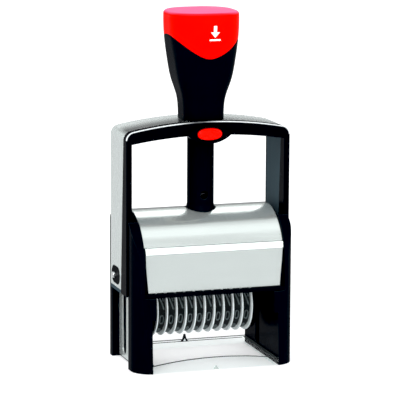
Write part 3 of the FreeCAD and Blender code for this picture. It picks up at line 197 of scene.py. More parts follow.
def moulded(name, base, wear_and_highlight_colour, rough, grain=0.02, spec=0.5, smudge=0.08, edge_radius=0.35,
            edge_wear=0.6, top_edge_highlight=0.0, top_spec=1.0, tint=None, line=0.0,
            crown=None, side=None):
    """Moulded plastic: fine grain, faint smudges in the gloss, edges rubbed lighter.

    grain and edge_radius are in millimetres. top_edge_highlight is a painted highlight added
    on edges that face up, in the same colour as the rubbed edges; line paints a highlight
    along the bezel's crest, side paints shade on faces turned from the front, crown paints a
    paler sheen on faces that look up; top_spec scales the shine of faces that look up.
    """
    shader = Shader(name)
    cloud = shader.noise(90.0, detail=3.0)
    fine = shader.noise(9000.0, detail=2.0, rough=0.6)
    bevel = shader.node("ShaderNodeBevel", {"Radius": edge_radius * MM}, samples=6)
    rounded = bevel.outputs["Normal"]
    normal = shader.normal()
    agreement = shader.node(
        "ShaderNodeVectorMath", {0: rounded, 1: normal}, operation="DOT_PRODUCT"
    ).outputs["Value"]
    edge = shader.ramp(agreement, span=(0.985, 0.86))
    # edges that face up get a painted highlight on top of the rubbing, in the same colour
    wear_and_highlight_range = (edge_wear, edge_wear + top_edge_highlight)
    amount = shader.ramp(shader.separate(rounded)["Z"], span=(0.2, 0.6), to=wear_and_highlight_range)
    paler = tuple(min(1.0, c * 1.25 + 0.0008) for c in base)
    colour = shader.mix(cloud, base, paler)
    scuff = shader.noise(700.0, detail=5.0, rough=0.65)
    broken = shader.ramp(scuff, span=(0.3, 0.7), to=(0.35, 1.0))
    wear_and_highlight_mask = shader.math("MULTIPLY", edge, broken)
    wear_and_highlight_mask = shader.math("MULTIPLY", wear_and_highlight_mask, amount, clamp=True)
    # the crest line joins the mask as a painted highlight
    if line:
        wear_and_highlight_mask = shader.math("MAXIMUM", wear_and_highlight_mask, crest_line(shader, line), clamp=True)
    colour = shader.mix(wear_and_highlight_mask, colour, wear_and_highlight_colour)
    gloss_range = (rough - smudge / 2, rough + smudge)
    shader.set({
        "Roughness": shader.ramp(cloud, span=(0.3, 0.7), to=gloss_range),
        "Coat Roughness": 0.08, "IOR": 1.5, "Specular IOR Level": spec,
    })
    if top_spec < 1.0:
        upward = shader.separate(normal)["Z"]
        dull = shader.ramp(upward, span=(0.5, 0.85), to=(spec, spec * top_spec))
        shader.set({"Specular IOR Level": dull})
    if side:
        # painted shade: faces turned away from the front take the side colour, as if shaded
        # by a well
        painted_flank_shade = shader.ramp(shader.separate(normal)["Y"], span=(-0.72, -0.4))
        colour = shader.mix(painted_flank_shade, colour, side)
    if crown:
        # painted sheen: faces that look up turn paler at grazing angles, as a reflection
        # would
        upward = shader.ramp(shader.separate(normal)["Z"], span=(0.3, 0.9))
        grazing = shader.ramp(shader.facing(), span=(0.35, 0.75), to=(0.12, 1.0))
        colour = shader.mix(shader.math("MULTIPLY", upward, grazing), colour, crown)
    shader.set({"Base Color": colour})
    if tint:
        shader.set({"Specular Tint": tint})
    shader.bump(fine, distance=grain)


def brushed(name, base, dark, rough, along=(30.0, 2500.0, 2500.0), bump=0.0012,
            shade=None, limb_dark_reflection=None):
    """Satin steel sheet: fine lines along one direction, faint cloudy stains.

    shade paints a dark reflection on the top toward the front, limb paints flat tops darker
    where seen at a low angle, also a painted dark reflection.
    """
    shader = Shader(name)
    lines = shader.noise(along, detail=3.0, rough=0.7)
    broad_scale = (along[0] * 0.7, along[1] * 0.14, along[2] * 0.14)
    broad = shader.noise(broad_scale, detail=4.0, rough=0.6)
    cloud = shader.noise(60.0, detail=4.0, rough=0.6)
    if shade:
        # the strip is bent: its lines run along X over the top and along Z down the legs
        over = shader.noise((30.0, 1800.0, 1800.0), detail=3.0, rough=0.7)
        top = shader.ramp(shader.separate(shader.normal())["Z"], span=(0.6, 0.8))
        picked = shader.node("ShaderNodeMix", {0: top, 2: lines, 3: over}, data_type="FLOAT")
        lines = shader.ramp(picked.outputs[0], span=(0.0, 1.0))
    colour = shader.mix(lines, dark, base)
    stain = shader.ramp(cloud, span=(0.35, 0.7), to=(0.0, 0.22))
    colour = shader.mix(stain, colour, tuple(c * 0.86 for c in base))
    # painted dark reflection: flat tops darken where seen at a low angle
    if limb_dark_reflection:
        upward = shader.separate(shader.normal())["Z"]
        flat = shader.ramp(upward, span=(0.6, 0.85), to=(0.0, 0.9))
        grazing = shader.ramp(shader.facing(), span=(0.70, 0.84))
        colour = shader.mix(shader.math("MULTIPLY", flat, grazing), colour, limb_dark_reflection)
    if shade:
        # painted dark reflection on the top toward the front
        flat = shader.ramp(shader.separate(shader.normal())["Z"], span=(0.55, 0.9))
        place = shader.separate(shader.coord)
        frontward = shader.ramp(place["Y"], span=(0.007, -0.0035))
        sideways = shader.ramp(place["X"], span=(-0.002, 0.016), to=(0.94, 0.6))
        amount = shader.math("MULTIPLY", flat, frontward)
        amount = shader.math("MULTIPLY", amount, sideways)
        colour = shader.mix(amount, colour, shade)
    shader.set({
        "Base Color": colour,
        "Roughness": shader.ramp(broad, span=(0.3, 0.7), to=(rough - 0.04, rough + 0.05)),
        "Metallic": 0.78, "Anisotropic": 0.45,
    })
    shader.bump(lines, distance=bump)


def turned(name, base, rough):
    """Turned steel: fine rings round an axle along X, small scratches."""
    shader = Shader(name)
    rings = shader.noise((6000.0, 200.0, 200.0), detail=2.0, rough=0.6)
    spots = shader.noise(900.0, detail=5.0, rough=0.6)
    shader.set({
        "Base Color": shader.mix(spots, tuple(c * 0.8 for c in base), base),
        "Roughness": shader.ramp(spots, span=(0.3, 0.7), to=(rough - 0.04, rough + 0.08)),
        "Metallic": 1.0,
    })
    shader.bump(rings, distance=0.004)


def rubber(name, base, dust):
    """Dull rubber with a paler bloom in patches."""
    shader = Shader(name)
    fine = shader.noise(5000.0, detail=3.0, rough=0.7)
    patch = shader.noise(420.0, detail=5.0, rough=0.65)
    bloom = shader.ramp(patch, span=(0.4, 0.75), to=(0.0, 0.55))
    shader.set({
        "Base Color": shader.mix(bloom, base, dust),
        "Roughness": shader.ramp(patch, span=(0.3, 0.7), to=(0.42, 0.62)),
        "Specular IOR Level": 0.15,
    })
    shader.bump(fine, distance=0.02)


def clear(name):
    """Clear moulded plastic: faint green tint, ripple, scuffs, and a painted dark refraction
    on upward faces.
    """
    shader = Shader(name)
    ripple = shader.noise(260.0, detail=2.0)
    scuff = shader.noise(1800.0, detail=5.0, rough=0.7)
    shader.set({"Roughness": 0.04, "IOR": 1.47, "Transmission Weight": 1.0})
    tint = shader.mix(ripple, (0.965, 0.99, 0.985), (0.985, 0.995, 0.995))
    shader.set({
        "Base Color": tint,
        "Roughness": shader.ramp(scuff, span=(0.45, 0.75), to=(0.02, 0.1)),
    })
    shader.bump(ripple, distance=0.02, strength=0.6)
    through = shader.node("ShaderNodeBsdfTransparent", {"Color": tint}).outputs[0]
    dusty = shader.ramp(scuff, span=(0.4, 0.8), to=(0.06, 0.12))
    body = shader.mix_shader(dusty, through, shader.principled.outputs[0])
    # painted dark refraction: upward faces above the foot are painted near black
    rim = shader.node("ShaderNodeBsdfPrincipled", {
        "Base Color": (0.05, 0.062, 0.062), "Roughness": 0.35, "Specular IOR Level": 0.1,
    }).outputs[0]
    upward = shader.separate(shader.normal())["Z"]
    flat = shader.ramp(upward, span=(0.5, 0.8), to=(0.0, 0.9))
    above_foot = shader.ramp(shader.separate(shader.coord)["Z"], span=(0.0012, 0.0016))
    painted_dark_top = shader.math("MULTIPLY", flat, above_foot)
    shader.surface(shader.mix_shader(painted_dark_top, body, rim))


def felt(name, base, wet):
    """Ink-soaked felt: matted fibres, wetter patches."""
    shader = Shader(name)
    vector = shader.mapped((2600.0, 2600.0, 2600.0))
    fibre = shader.node("ShaderNodeTexVoronoi", {"Vector": vector}).outputs["Distance"]
    damp = shader.noise(240.0)
    shader.set({
        "Base Color": shader.mix(damp, base, wet),
        "Roughness": shader.ramp(damp, span=(0.35, 0.65), to=(0.35, 0.85)),
        "Sheen Weight": 0.3,
    })
    shader.bump(fibre, distance=0.12)


# ------------------------------------------------------------------ materials
COOL = (0.62, 0.86, 1.0)

moulded("black_gloss", base=(0.0012, 0.0024, 0.0042), wear_and_highlight_colour=(0.16, 0.18, 0.19), rough=0.22,
        grain=0.003, spec=0.008, edge_radius=0.45, edge_wear=0.015, top_edge_highlight=0.16,
        tint=COOL, top_spec=0.3)
# the bezel's pale edge colour is only a painted highlight, drawn along its crest
moulded("bezel_gloss_highlit", base=(0.0014, 0.0018, 0.0028), wear_and_highlight_colour=(0.9, 0.95, 0.96), rough=0.22,
        grain=0.003, spec=0.012, edge_radius=0.45, edge_wear=0.0,
        tint=COOL, line=0.8, top_spec=0.08)
moulded("black_matt", base=(0.002, 0.0024, 0.0034), wear_and_highlight_colour=(0.12, 0.13, 0.13), rough=0.4,
        grain=0.01, spec=0.012, edge_radius=0.25, edge_wear=0.02, top_edge_highlight=0.1,
        tint=COOL, top_spec=0.3)
moulded("core_grey", base=(0.034, 0.053, 0.064), wear_and_highlight_colour=(0.09, 0.11, 0.11), rough=0.5,
        grain=0.01, spec=0.02, edge_radius=0.25, edge_wear=0.2, tint=COOL)
brushed("satin_steel", base=(0.83, 0.9, 0.88), dark=(0.77, 0.84, 0.82), rough=0.21)
# its limb colour is a painted dark reflection
brushed("hood_steel", base=(0.85, 0.915, 0.895), dark=(0.79, 0.855, 0.835), rough=0.21,
        limb_dark_reflection=(0.05, 0.062, 0.06))
# its shade colour is a painted dark reflection
brushed("band_steel", base=(0.83, 0.895, 0.88), dark=(0.81, 0.875, 0.86), rough=0.26,
        along=(1800.0, 1800.0, 30.0), bump=0.0002, shade=(0.012, 0.016, 0.017))
brushed("plate_steel", base=(0.84, 0.905, 0.89), dark=(0.79, 0.855, 0.84), rough=0.26,
        along=(1800.0, 1800.0, 30.0), bump=0.0006)
# the crown colour is a painted sheen on the cap's top at grazing angles
moulded("red_gloss", base=(0.93, 0.0035, 0.0004), wear_and_highlight_colour=(1.0, 0.05, 0.05), rough=0.3,
        grain=0.003, smudge=0.05, spec=0.008, edge_radius=0.5, edge_wear=0.03, top_edge_highlight=0.1,
        tint=(1.0, 0.5, 0.95), crown=(0.92, 0.14, 0.31))
# the side colour is painted shade on the button's faces turned from the front
moulded("button_red", base=(0.93, 0.0035, 0.0004), wear_and_highlight_colour=(1.0, 0.25, 0.25), rough=0.26,
        grain=0.003, smudge=0.05, spec=0.06, edge_radius=0.5, edge_wear=0.05, top_edge_highlight=0.3,
        side=(0.1, 0.0, 0.0))
moulded("white_plastic", base=(0.66, 0.72, 0.725), wear_and_highlight_colour=(0.8, 0.84, 0.84), rough=0.38,
        grain=0.006, spec=0.2, edge_radius=0.15)
rubber("band_rubber", base=(0.003, 0.0048, 0.0054), dust=(0.014, 0.02, 0.021))
rubber("figure_rubber", base=(0.095, 0.118, 0.122), dust=(0.17, 0.2, 0.2))
moulded("mark_grey", base=(0.36, 0.42, 0.4), wear_and_highlight_colour=(0.5, 0.52, 0.52), rough=0.5,
        grain=0.006, spec=0.2, edge_radius=0.1)
felt("ink_foam", base=(0.004, 0.004, 0.006), wet=(0.001, 0.001, 0.002))
clear("clear_plastic")
turned("bright_steel", base=(0.93, 0.95, 0.96), rough=0.16)
turned("spring_steel", base=(0.05, 0.053, 0.06), rough=0.4)
moulded("bush_plastic", base=(0.62, 0.6, 0.54), wear_and_highlight_colour=(0.75, 0.73, 0.68), rough=0.45,
        grain=0.008, edge_radius=0.2)
moulded("print_white", base=(0.86, 0.86, 0.88), wear_and_highlight_colour=(0.95, 0.95, 0.95), rough=0.5,
        grain=0.004, edge_radius=0.1)
moulded("mark_black", base=(0.006, 0.007, 0.009), wear_and_highlight_colour=(0.05, 0.05, 0.05), rough=0.4,
        grain=0.006, spec=0.2, edge_radius=0.1)

# Nodes whose finish differs from the slot in the record; the bezel's carries a painted
# highlight, the band's and the hood's carry painted dark reflections
OWN_FINISH = {"steel_band": "band_steel", "front_bezel": "bezel_gloss_highlit", "hood": "hood_steel"}


def finish_of(node, slot):
    if node in OWN_FINISH:
        return OWN_FINISH[node]
    if node.endswith("axle_bush"):
        return "black_matt"
    if node.endswith("side_plate"):
        return "plate_steel"
    if node.startswith("cradle_") and slot == "core_grey":
        return "black_matt"
    return slot


NODE_SLOTS = {part["node"]: part["material_slot"] for part in frame["record"]["subparts"]}
for node_name, part in NODES.items():
    part.data.materials.clear()
    part.data.materials.append(MATERIALS[finish_of(node_name, NODE_SLOTS[node_name])])


# ------------------------------------------------------------------ rounded edges
# Bevel width in mm, segments, nodes
EDGES = [
    (0.6, 4, ["front_bezel"]),
    (0.35, 2, ["left_cheek", "right_cheek"]),
    (0.3, 2, ["rear_bezel"]),
    (0.25, 2, ["front_crossbar", "top_deck", "left_axle_bush", "right_axle_bush"]),
    (0.2, 2, ["rear_panel", "pad_tray", "pivot_axle"]),
    (0.15, 2, ["cradle_left_plate", "cradle_right_plate", "wheel_axle", "slot_rollers",
               "cam_pins", "centre_post"]),
    (0.15, 1, ["rod_nut", "guide_rod"]),
    (0.14, 2, ["pad_front_panel"] + ["band_%02d" % i for i in range(1, 11)]),
    (0.12, 2, ["steel_band", "left_side_plate", "right_side_plate", "clear_base",
               "arch_core", "print_bridge", "end_disc"]),
    (0.12, 1, ["post_bush"]),
    (0.1, 2, ["hood", "housing_screws"] + ["wheel_%02d" % i for i in range(1, 11)]),
    (0.08, 1, ["arch_screws"]),
]


def soften(part, width, segments):
    """Join the flat facets, round each edge and let the flats keep flat shading."""
    weld = part.modifiers.new("weld", "WELD")
    weld.merge_threshold = 1e-6
    flats = part.modifiers.new("flats", "DECIMATE")
    flats.decimate_type = "DISSOLVE"
    flats.angle_limit = math.radians(0.4)
    flats.delimit = set()
    bevel = part.modifiers.new("edges", "BEVEL")
    bevel.limit_method = "ANGLE"
    bevel.angle_limit = math.radians(34.0)
    bevel.width = width * MM
    bevel.segments = segments
    bevel.profile = 0.5
    bevel.use_clamp_overlap = True
    bevel.miter_outer = "MITER_ARC"
    normals = part.modifiers.new("normals", "WEIGHTED_NORMAL")
    normals.weight = 60
    normals.keep_sharp = True


for edge_width, edge_segments, edge_nodes in EDGES:
    for node_name in edge_nodes:
        soften(NODES[node_name], edge_width, edge_segments)


def new_piece(name, verts, faces, body, kind, smooth=True):
    """A mesh piece in millimetres that rides on a body, with a material by name."""
    mesh = bpy.data.meshes.new(name)
    mesh.from_pydata([tuple(c * MM for c in v) for v in verts], [], faces)
    mesh.validate()
    bm = bmesh.new()
    bm.from_mesh(mesh)
    bmesh.ops.remove_doubles(bm, verts=bm.verts, dist=1e-8)
    bmesh.ops.recalc_face_normals(bm, faces=bm.faces)
    bm.to_mesh(mesh)
    bm.free()
    for polygon in mesh.polygons:
        polygon.use_smooth = smooth
    piece = bpy.data.objects.new(name, mesh)
    coll.objects.link(piece)
    mesh.materials.append(MATERIALS[kind])
    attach(piece, body)
    return piece


def ring_faces(rings, points, start=0, closed=False):
    """Quads between successive rings of equal point count; closed joins last to first."""
    faces = []
    for j in range(rings if closed else rings - 1):
        a = start + j * points
        b = start + (j + 1) % rings * points
        for k in range(points):
            after = (k + 1) % points
            faces.append((a + k, a + after, b + after, b + k))
    return faces


# ------------------------------------------------------------------ figures on the bands
STROKE_LOW = -0.12      # strokes start below the band's surface
STROKE_DRAFT = 0.12     # each side leans in by this
STROKE_STEP = 0.55      # longest piece of a stroke, so that it can follow the loop
MITRE_LIMIT = 0.55

FIGURE_HEIGHT, FIGURE_WIDTH = 3.65, 1.5
FIGURE_STROKE, FIGURE_RELIEF = 0.44, 0.6
# Centre lines in a unit square, (across, up): (closed, points)
FIGURES = {
    "0": (True, [
        (-0.5, -0.26), (-0.36, -0.43), (-0.14, -0.5), (0.14, -0.5), (0.36, -0.43),
        (0.5, -0.26), (0.5, 0.26), (0.36, 0.43), (0.14, 0.5), (-0.14, 0.5),
        (-0.36, 0.43), (-0.5, 0.26)]),
    "1": (False, [(-0.3, 0.3), (0.1, 0.5), (0.1, -0.5)]),
    "2": (False, [
        (-0.48, 0.28), (-0.34, 0.45), (0.0, 0.5), (0.36, 0.43), (0.48, 0.22),
        (0.32, -0.05), (-0.48, -0.5), (0.5, -0.5)]),
    "3": (False, [
        (-0.46, 0.4), (-0.1, 0.5), (0.36, 0.42), (0.45, 0.22), (0.3, 0.06), (0.0, 0.01),
        (0.36, -0.08), (0.48, -0.27), (0.36, -0.44), (0.0, -0.5), (-0.47, -0.4)]),
    "4": (False, [(0.2, -0.5), (0.2, 0.5), (-0.48, -0.2), (0.5, -0.2)]),
    "5": (False, [
        (0.44, 0.5), (-0.38, 0.5), (-0.44, 0.08), (0.05, 0.13), (0.4, 0.0),
        (0.48, -0.22), (0.34, -0.43), (0.0, -0.5), (-0.46, -0.4)]),
    "6": (False, [
        (0.38, 0.42), (0.05, 0.5), (-0.34, 0.36), (-0.47, 0.0), (-0.42, -0.34),
        (0.0, -0.5), (0.4, -0.37), (0.46, -0.14), (0.26, 0.06), (-0.1, 0.09),
        (-0.4, -0.08)]),
    "7": (False, [(-0.46, 0.5), (0.46, 0.5), (-0.06, -0.5)]),
    "8": (True, [
        (0.0, 0.02), (0.34, 0.14), (0.42, 0.3), (0.28, 0.46), (0.0, 0.5), (-0.28, 0.46),
        (-0.42, 0.3), (-0.34, 0.14), (0.0, 0.02), (-0.38, -0.1), (-0.48, -0.28),
        (-0.32, -0.46), (0.0, -0.5), (0.32, -0.46), (0.48, -0.28), (0.38, -0.1)]),
    "9": (False, [
        (-0.38, -0.42), (-0.05, -0.5), (0.34, -0.36), (0.47, 0.0), (0.42, 0.34),
        (0.0, 0.5), (-0.4, 0.37), (-0.46, 0.14), (-0.26, -0.06), (0.1, -0.09),
        (0.4, 0.08)]),
}
# What stands on a band, in order along the loop; "stroke" is a pair of slanted bars
ORDER = ["0", "stroke", "1", "2", "3", "4", "5", "6", "7", "8", "9", "6"]
# The slanted bars in mm: points, width, relief
SLANTED_BARS = [
    ([(-1.0, 3.0), (0.9, -2.9)], 0.62, 0.55),
    ([(0.25, 3.0), (1.0, 0.4)], 0.5, 0.5),
]

# A band's outer line: an arc round the wheel, two straight runs, a small arc over the nose
LOOP_Y, WHEEL_Z, NOSE_Z = 4.4, 22.0, 41.8
WHEEL_RADIUS, NOSE_RADIUS = 10.6, 3.75
LEAN = math.asin((WHEEL_RADIUS - NOSE_RADIUS) / (NOSE_Z - WHEEL_Z))
RUN = (NOSE_Z - WHEEL_Z) * math.cos(LEAN)
WHEEL_ARC = WHEEL_RADIUS * (math.pi + 2 * LEAN)
NOSE_ARC = NOSE_RADIUS * (math.pi - 2 * LEAN)
LOOP = WHEEL_ARC + NOSE_ARC + 2 * RUN
FIGURE_PITCH = LOOP / len(ORDER)
FIRST_FIGURE_Z = 18.45
FIRST_FIGURE = WHEEL_RADIUS * math.asin((FIRST_FIGURE_Z - WHEEL_Z) / WHEEL_RADIUS)
BANDS, BAND_PITCH = 10, 4.09


def ribbon(points, width, high, closed=False):
    """A raised stroke along a flat polyline: rings of four points, mitred at the corners."""
    points = [Vector(p) for p in points]
    fine = []
    for i in range(len(points) if closed else len(points) - 1):
        start, end = points[i], points[(i + 1) % len(points)]
        pieces = max(1, int(math.ceil((end - start).length / STROKE_STEP)))
        fine += [start.lerp(end, k / pieces) for k in range(pieces)]
    if not closed:
        fine.append(points[-1])
    verts = []
    count = len(fine)
    for i, p in enumerate(fine):
        if closed or 0 < i < count - 1:
            before = (p - fine[(i - 1) % count]).normalized()
            after = (fine[(i + 1) % count] - p).normalized()
        elif i == 0:
            before = after = (fine[1] - p).normalized()
        else:
            before = after = (p - fine[i - 1]).normalized()
        tangent = before + after
        tangent = tangent.normalized() if tangent.length > 1e-6 else after
        side = Vector((-tangent.y, tangent.x))
        grow = 1.0 / max(MITRE_LIMIT, side.dot(Vector((-after.y, after.x))))
        foot, top = width / 2 * grow, (width / 2 - STROKE_DRAFT) * grow
        verts += [
            (p.x - side.x * foot, p.y - side.y * foot, STROKE_LOW),
            (p.x + side.x * foot, p.y + side.y * foot, STROKE_LOW),
            (p.x + side.x * top, p.y + side.y * top, high),
            (p.x - side.x * top, p.y - side.y * top, high),
        ]
    faces = ring_faces(count, 4, closed=closed)
    if not closed:
        end = 4 * (count - 1)
        faces += [(3, 2, 1, 0), (end, end + 1, end + 2, end + 3)]
    return verts, faces


def on_loop(across, along, height, band_x):
    """A point on a band: along runs up the front from the wheel's foremost point."""
    s = along % LOOP
    front = WHEEL_RADIUS * LEAN     # the wheel arc ends this far above the foremost point
    if s > front + RUN + NOSE_ARC + RUN:
        s -= LOOP
    if s <= front:
        angle = s / WHEEL_RADIUS
        ny, nz = -math.cos(angle), math.sin(angle)
        y, z = LOOP_Y + WHEEL_RADIUS * ny, WHEEL_Z + WHEEL_RADIUS * nz
    elif s <= front + RUN:
        ny, nz = -math.cos(LEAN), math.sin(LEAN)
        t = s - front
        y = LOOP_Y + WHEEL_RADIUS * ny + t * math.sin(LEAN)
        z = WHEEL_Z + WHEEL_RADIUS * nz + t * math.cos(LEAN)
    elif s <= front + RUN + NOSE_ARC:
        angle = LEAN + (s - front - RUN) / NOSE_RADIUS
        ny, nz = -math.cos(angle), math.sin(angle)
        y, z = LOOP_Y + NOSE_RADIUS * ny, NOSE_Z + NOSE_RADIUS * nz
    else:
        ny, nz = math.cos(LEAN), math.sin(LEAN)
        t = s - front - RUN - NOSE_ARC
        y = LOOP_Y + NOSE_RADIUS * ny + t * math.sin(LEAN)
        z = NOSE_Z + NOSE_RADIUS * nz - t * math.cos(LEAN)
    return (band_x + across, y + height * ny, z + height * nz)


def band_figures(number):
    verts, faces = [], []
    band_x = (number - (BANDS + 1) / 2) * BAND_PITCH
    nudge = 0.12 * math.sin(number * 2.3)   # no two bands line up exactly
    for k, key in enumerate(ORDER):
        middle = FIRST_FIGURE + nudge + k * FIGURE_PITCH
        if key == "stroke":
            strokes = [ribbon(*slanted) for slanted in SLANTED_BARS]
        else:
            closed, points = FIGURES[key]
            # mirrored across, as on any stamp
            line = [(-x * FIGURE_WIDTH, y * FIGURE_HEIGHT) for x, y in points]
            strokes = [ribbon(line, FIGURE_STROKE, FIGURE_RELIEF, closed)]
        for stroke_verts, stroke_faces in strokes:
            base = len(verts)
            verts += [on_loop(u, middle + v, h, band_x) for u, v, h in stroke_verts]
            faces += [tuple(base + q for q in face) for face in stroke_faces]
    name = "figures_%02d" % number
    new_piece(name, verts, faces, "cradle", "figure_rubber", smooth=False)


for band in range(1, BANDS + 1):
    band_figures(band)


# ------------------------------------------------------------------ main spring
COIL_RADIUS, WIRE_RADIUS = 3.55, 0.45
CLOSE_PITCH = 2.04              # rise of a closed turn, in wire radii
TURNS, CLOSED_TURNS = 24, 1.6   # all turns, and the closed ones at each end
WIRE_SIDES, STEPS_PER_TURN = 12, 36


def main_spring():
    """A coil with closed ends and an open middle."""
    box_low, box_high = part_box("main_spring")
    low, high = box_low[2] / MM + WIRE_RADIUS, box_high[2] / MM - WIRE_RADIUS
    open_low = low + CLOSED_TURNS * WIRE_RADIUS * CLOSE_PITCH
    open_high = high - CLOSED_TURNS * WIRE_RADIUS * CLOSE_PITCH
    steps = TURNS * STEPS_PER_TURN
    verts = []
    for i in range(steps + 1):
        t = i / STEPS_PER_TURN
        if t < CLOSED_TURNS:
            z = low + t * WIRE_RADIUS * CLOSE_PITCH
        elif t > TURNS - CLOSED_TURNS:
            z = high - (TURNS - t) * WIRE_RADIUS * CLOSE_PITCH
        else:
            f = (t - CLOSED_TURNS) / (TURNS - 2 * CLOSED_TURNS)
            z = open_low + (open_high - open_low) * f
        turn = 2 * math.pi * t
        centre = Vector((COIL_RADIUS * math.cos(turn), COIL_RADIUS * math.sin(turn), z))
        out = Vector((math.cos(turn), math.sin(turn), 0.0))
        for k in range(WIRE_SIDES):
            b = 2 * math.pi * k / WIRE_SIDES
            rise = Vector((0, 0, WIRE_RADIUS * math.sin(b)))
            verts.append(tuple(centre + out * (WIRE_RADIUS * math.cos(b)) + rise))
    faces = ring_faces(steps + 1, WIRE_SIDES)
    faces.append(tuple(range(WIRE_SIDES)))
    faces.append(tuple(steps * WIRE_SIDES + k for k in reversed(range(WIRE_SIDES))))
    coil = new_piece("main_spring_coil", verts, faces, "base", "spring_steel")
    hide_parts("main_spring")
    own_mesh(coil)


main_spring()


# ------------------------------------------------------------------ ink pad
PAD_CELLS = (44, 18, 6)     # along X, Y, Z
PAD_WAIST = 0.12            # how far the sides are pulled in at mid height
PAD_RIM = 0.55              # rounding of the lower edge
PAD_GAP = 0.2               # the lower face's rise above the box, before the crown
PAD_CROWN = 0.18            # how far the middle of the lower face bulges down
PAD_GRAIN = 0.05


def felt_pad():
    """A felt block with a crowned lower face and pulled-in sides."""
    low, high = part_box("ink_pad")
    x0, y0, z0, x1, y1, z1 = (v / MM for v in (*low, *high))
    mid_x, mid_y = (x0 + x1) / 2, (y0 + y1) / 2
    half_x, half_y = (x1 - x0) / 2, (y1 - y0) / 2
    nx, ny, nz = PAD_CELLS
    verts, faces, index = [], [], {}

    def point(i, j, k):
        """Index of a lattice point, made on first use."""
        key = (i, j, k)
        if key not in index:
            u, v, w = 2 * i / nx - 1, 2 * j / ny - 1, k / nz
            waist = PAD_WAIST * math.sin(math.pi * w)
            x = mid_x + u * (half_x - waist)
            y = mid_y + v * (half_y - waist)
            edge_x = max(0.0, abs(x - mid_x) - (half_x - PAD_RIM)) / PAD_RIM
            edge_y = max(0.0, abs(y - mid_y) - (half_y - PAD_RIM)) / PAD_RIM
            reach = min(1.0, math.hypot(edge_x, edge_y))
            round_off = 1 - math.sqrt(max(0.0, 1 - reach * reach))
            crown = PAD_CROWN * (1 - u * u) * (1 - v * v)
            grain = PAD_GRAIN * noise.noise(Vector((x * 0.9, y * 0.9, 3.1)))
            bottom = z0 + PAD_GAP - crown + grain + PAD_RIM * round_off
            z = bottom + (z1 - bottom) * w
            index[key] = len(verts)
            verts.append((x, y, max(z, z0)))
        return index[key]

    def face(*corners):
        faces.append(tuple(point(*corner) for corner in corners))

    for i in range(nx):
        for j in range(ny):
            face((i, j, 0), (i, j + 1, 0), (i + 1, j + 1, 0), (i + 1, j, 0))
            face((i, j, nz), (i + 1, j, nz), (i + 1, j + 1, nz), (i, j + 1, nz))
    for k in range(nz):
        for i in range(nx):
            face((i, 0, k), (i + 1, 0, k), (i + 1, 0, k + 1), (i, 0, k + 1))
            face((i, ny, k), (i, ny, k + 1), (i + 1, ny, k + 1), (i + 1, ny, k))
        for j in range(ny):
            face((0, j, k), (0, j, k + 1), (0, j + 1, k + 1), (0, j + 1, k))
            face((nx, j, k), (nx, j + 1, k), (nx, j + 1, k + 1), (nx, j, k + 1))
    pad = new_piece("felt_ink_pad", verts, faces, "drawer", "ink_foam")
    soft = pad.modifiers.new("soft", "SUBSURF")
    soft.levels = soft.render_levels = 1
    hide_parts("ink_pad")


felt_pad()


# ------------------------------------------------------------------ handle: shared loft
# Height and half width of the rounded-square section
SECTIONS = [
    (99.0, 8.6), (105.0, 8.64), (110.5, 9.3), (116.8, 11.2),
    (124.0, 12.56), (132.6, 13.6), (139.0, 14.0), (147.0, 13.95),
]
# Corner radius over half width, below ROUNDER_FROM and at the end of ROUNDER_SPAN above it
ROUND_LOW, ROUND_HIGH = 0.61, 0.80
ROUNDER_FROM, ROUNDER_SPAN = 119.0, 26.0
FLAT_WEIGHT = 1.292         # weight of the flat against the corner in the seen width
FLAT_POINTS, ARC_POINTS = 10, 14
SIDE_POINTS = FLAT_POINTS + ARC_POINTS
RING_POINTS = 4 * SIDE_POINTS

CAP_EDGE_Z, CAP_EDGE_RISE, CAP_EDGE_POWER = 126.4, 9.3, 1.4
ARCH_RADIUS, ARCH_END_X, ARCH_END_Z = 165.8, 29.8, 98.3


def natural_spline(points):
    """x, y and second derivatives of a natural cubic through the points."""
    x = np.array([p[0] for p in points], float)
    y = np.array([p[1] for p in points], float)
    n = len(x)
    matrix = np.zeros((n, n))
    rhs = np.zeros(n)
    matrix[0, 0] = matrix[-1, -1] = 1.0
    for i in range(1, n - 1):
        h0, h1 = x[i] - x[i - 1], x[i + 1] - x[i]
        matrix[i, i - 1], matrix[i, i], matrix[i, i + 1] = h0, 2 * (h0 + h1), h1
        rhs[i] = 6 * ((y[i + 1] - y[i]) / h1 - (y[i] - y[i - 1]) / h0)
    return x, y, np.linalg.solve(matrix, rhs)


SECTION_Z, SECTION_HALF, SECTION_BEND = natural_spline(SECTIONS)


def half_at(z):
    """Half width of the section at height z."""
    i = int(min(max(np.searchsorted(SECTION_Z, z) - 1, 0), len(SECTION_Z) - 2))
    h = SECTION_Z[i + 1] - SECTION_Z[i]
    a, b = (SECTION_Z[i + 1] - z) / h, (z - SECTION_Z[i]) / h
    bend = (a ** 3 - a) * SECTION_BEND[i] + (b ** 3 - b) * SECTION_BEND[i + 1]
    return a * SECTION_HALF[i] + b * SECTION_HALF[i + 1] + bend * h * h / 6


def corner_at(z):
    """Corner radius over half width: the head gets rounder toward its top."""
    f = min(max((z - ROUNDER_FROM) / ROUNDER_SPAN, 0.0), 1.0)
    return ROUND_LOW + (ROUND_HIGH - ROUND_LOW) * f * f * (3 - 2 * f)


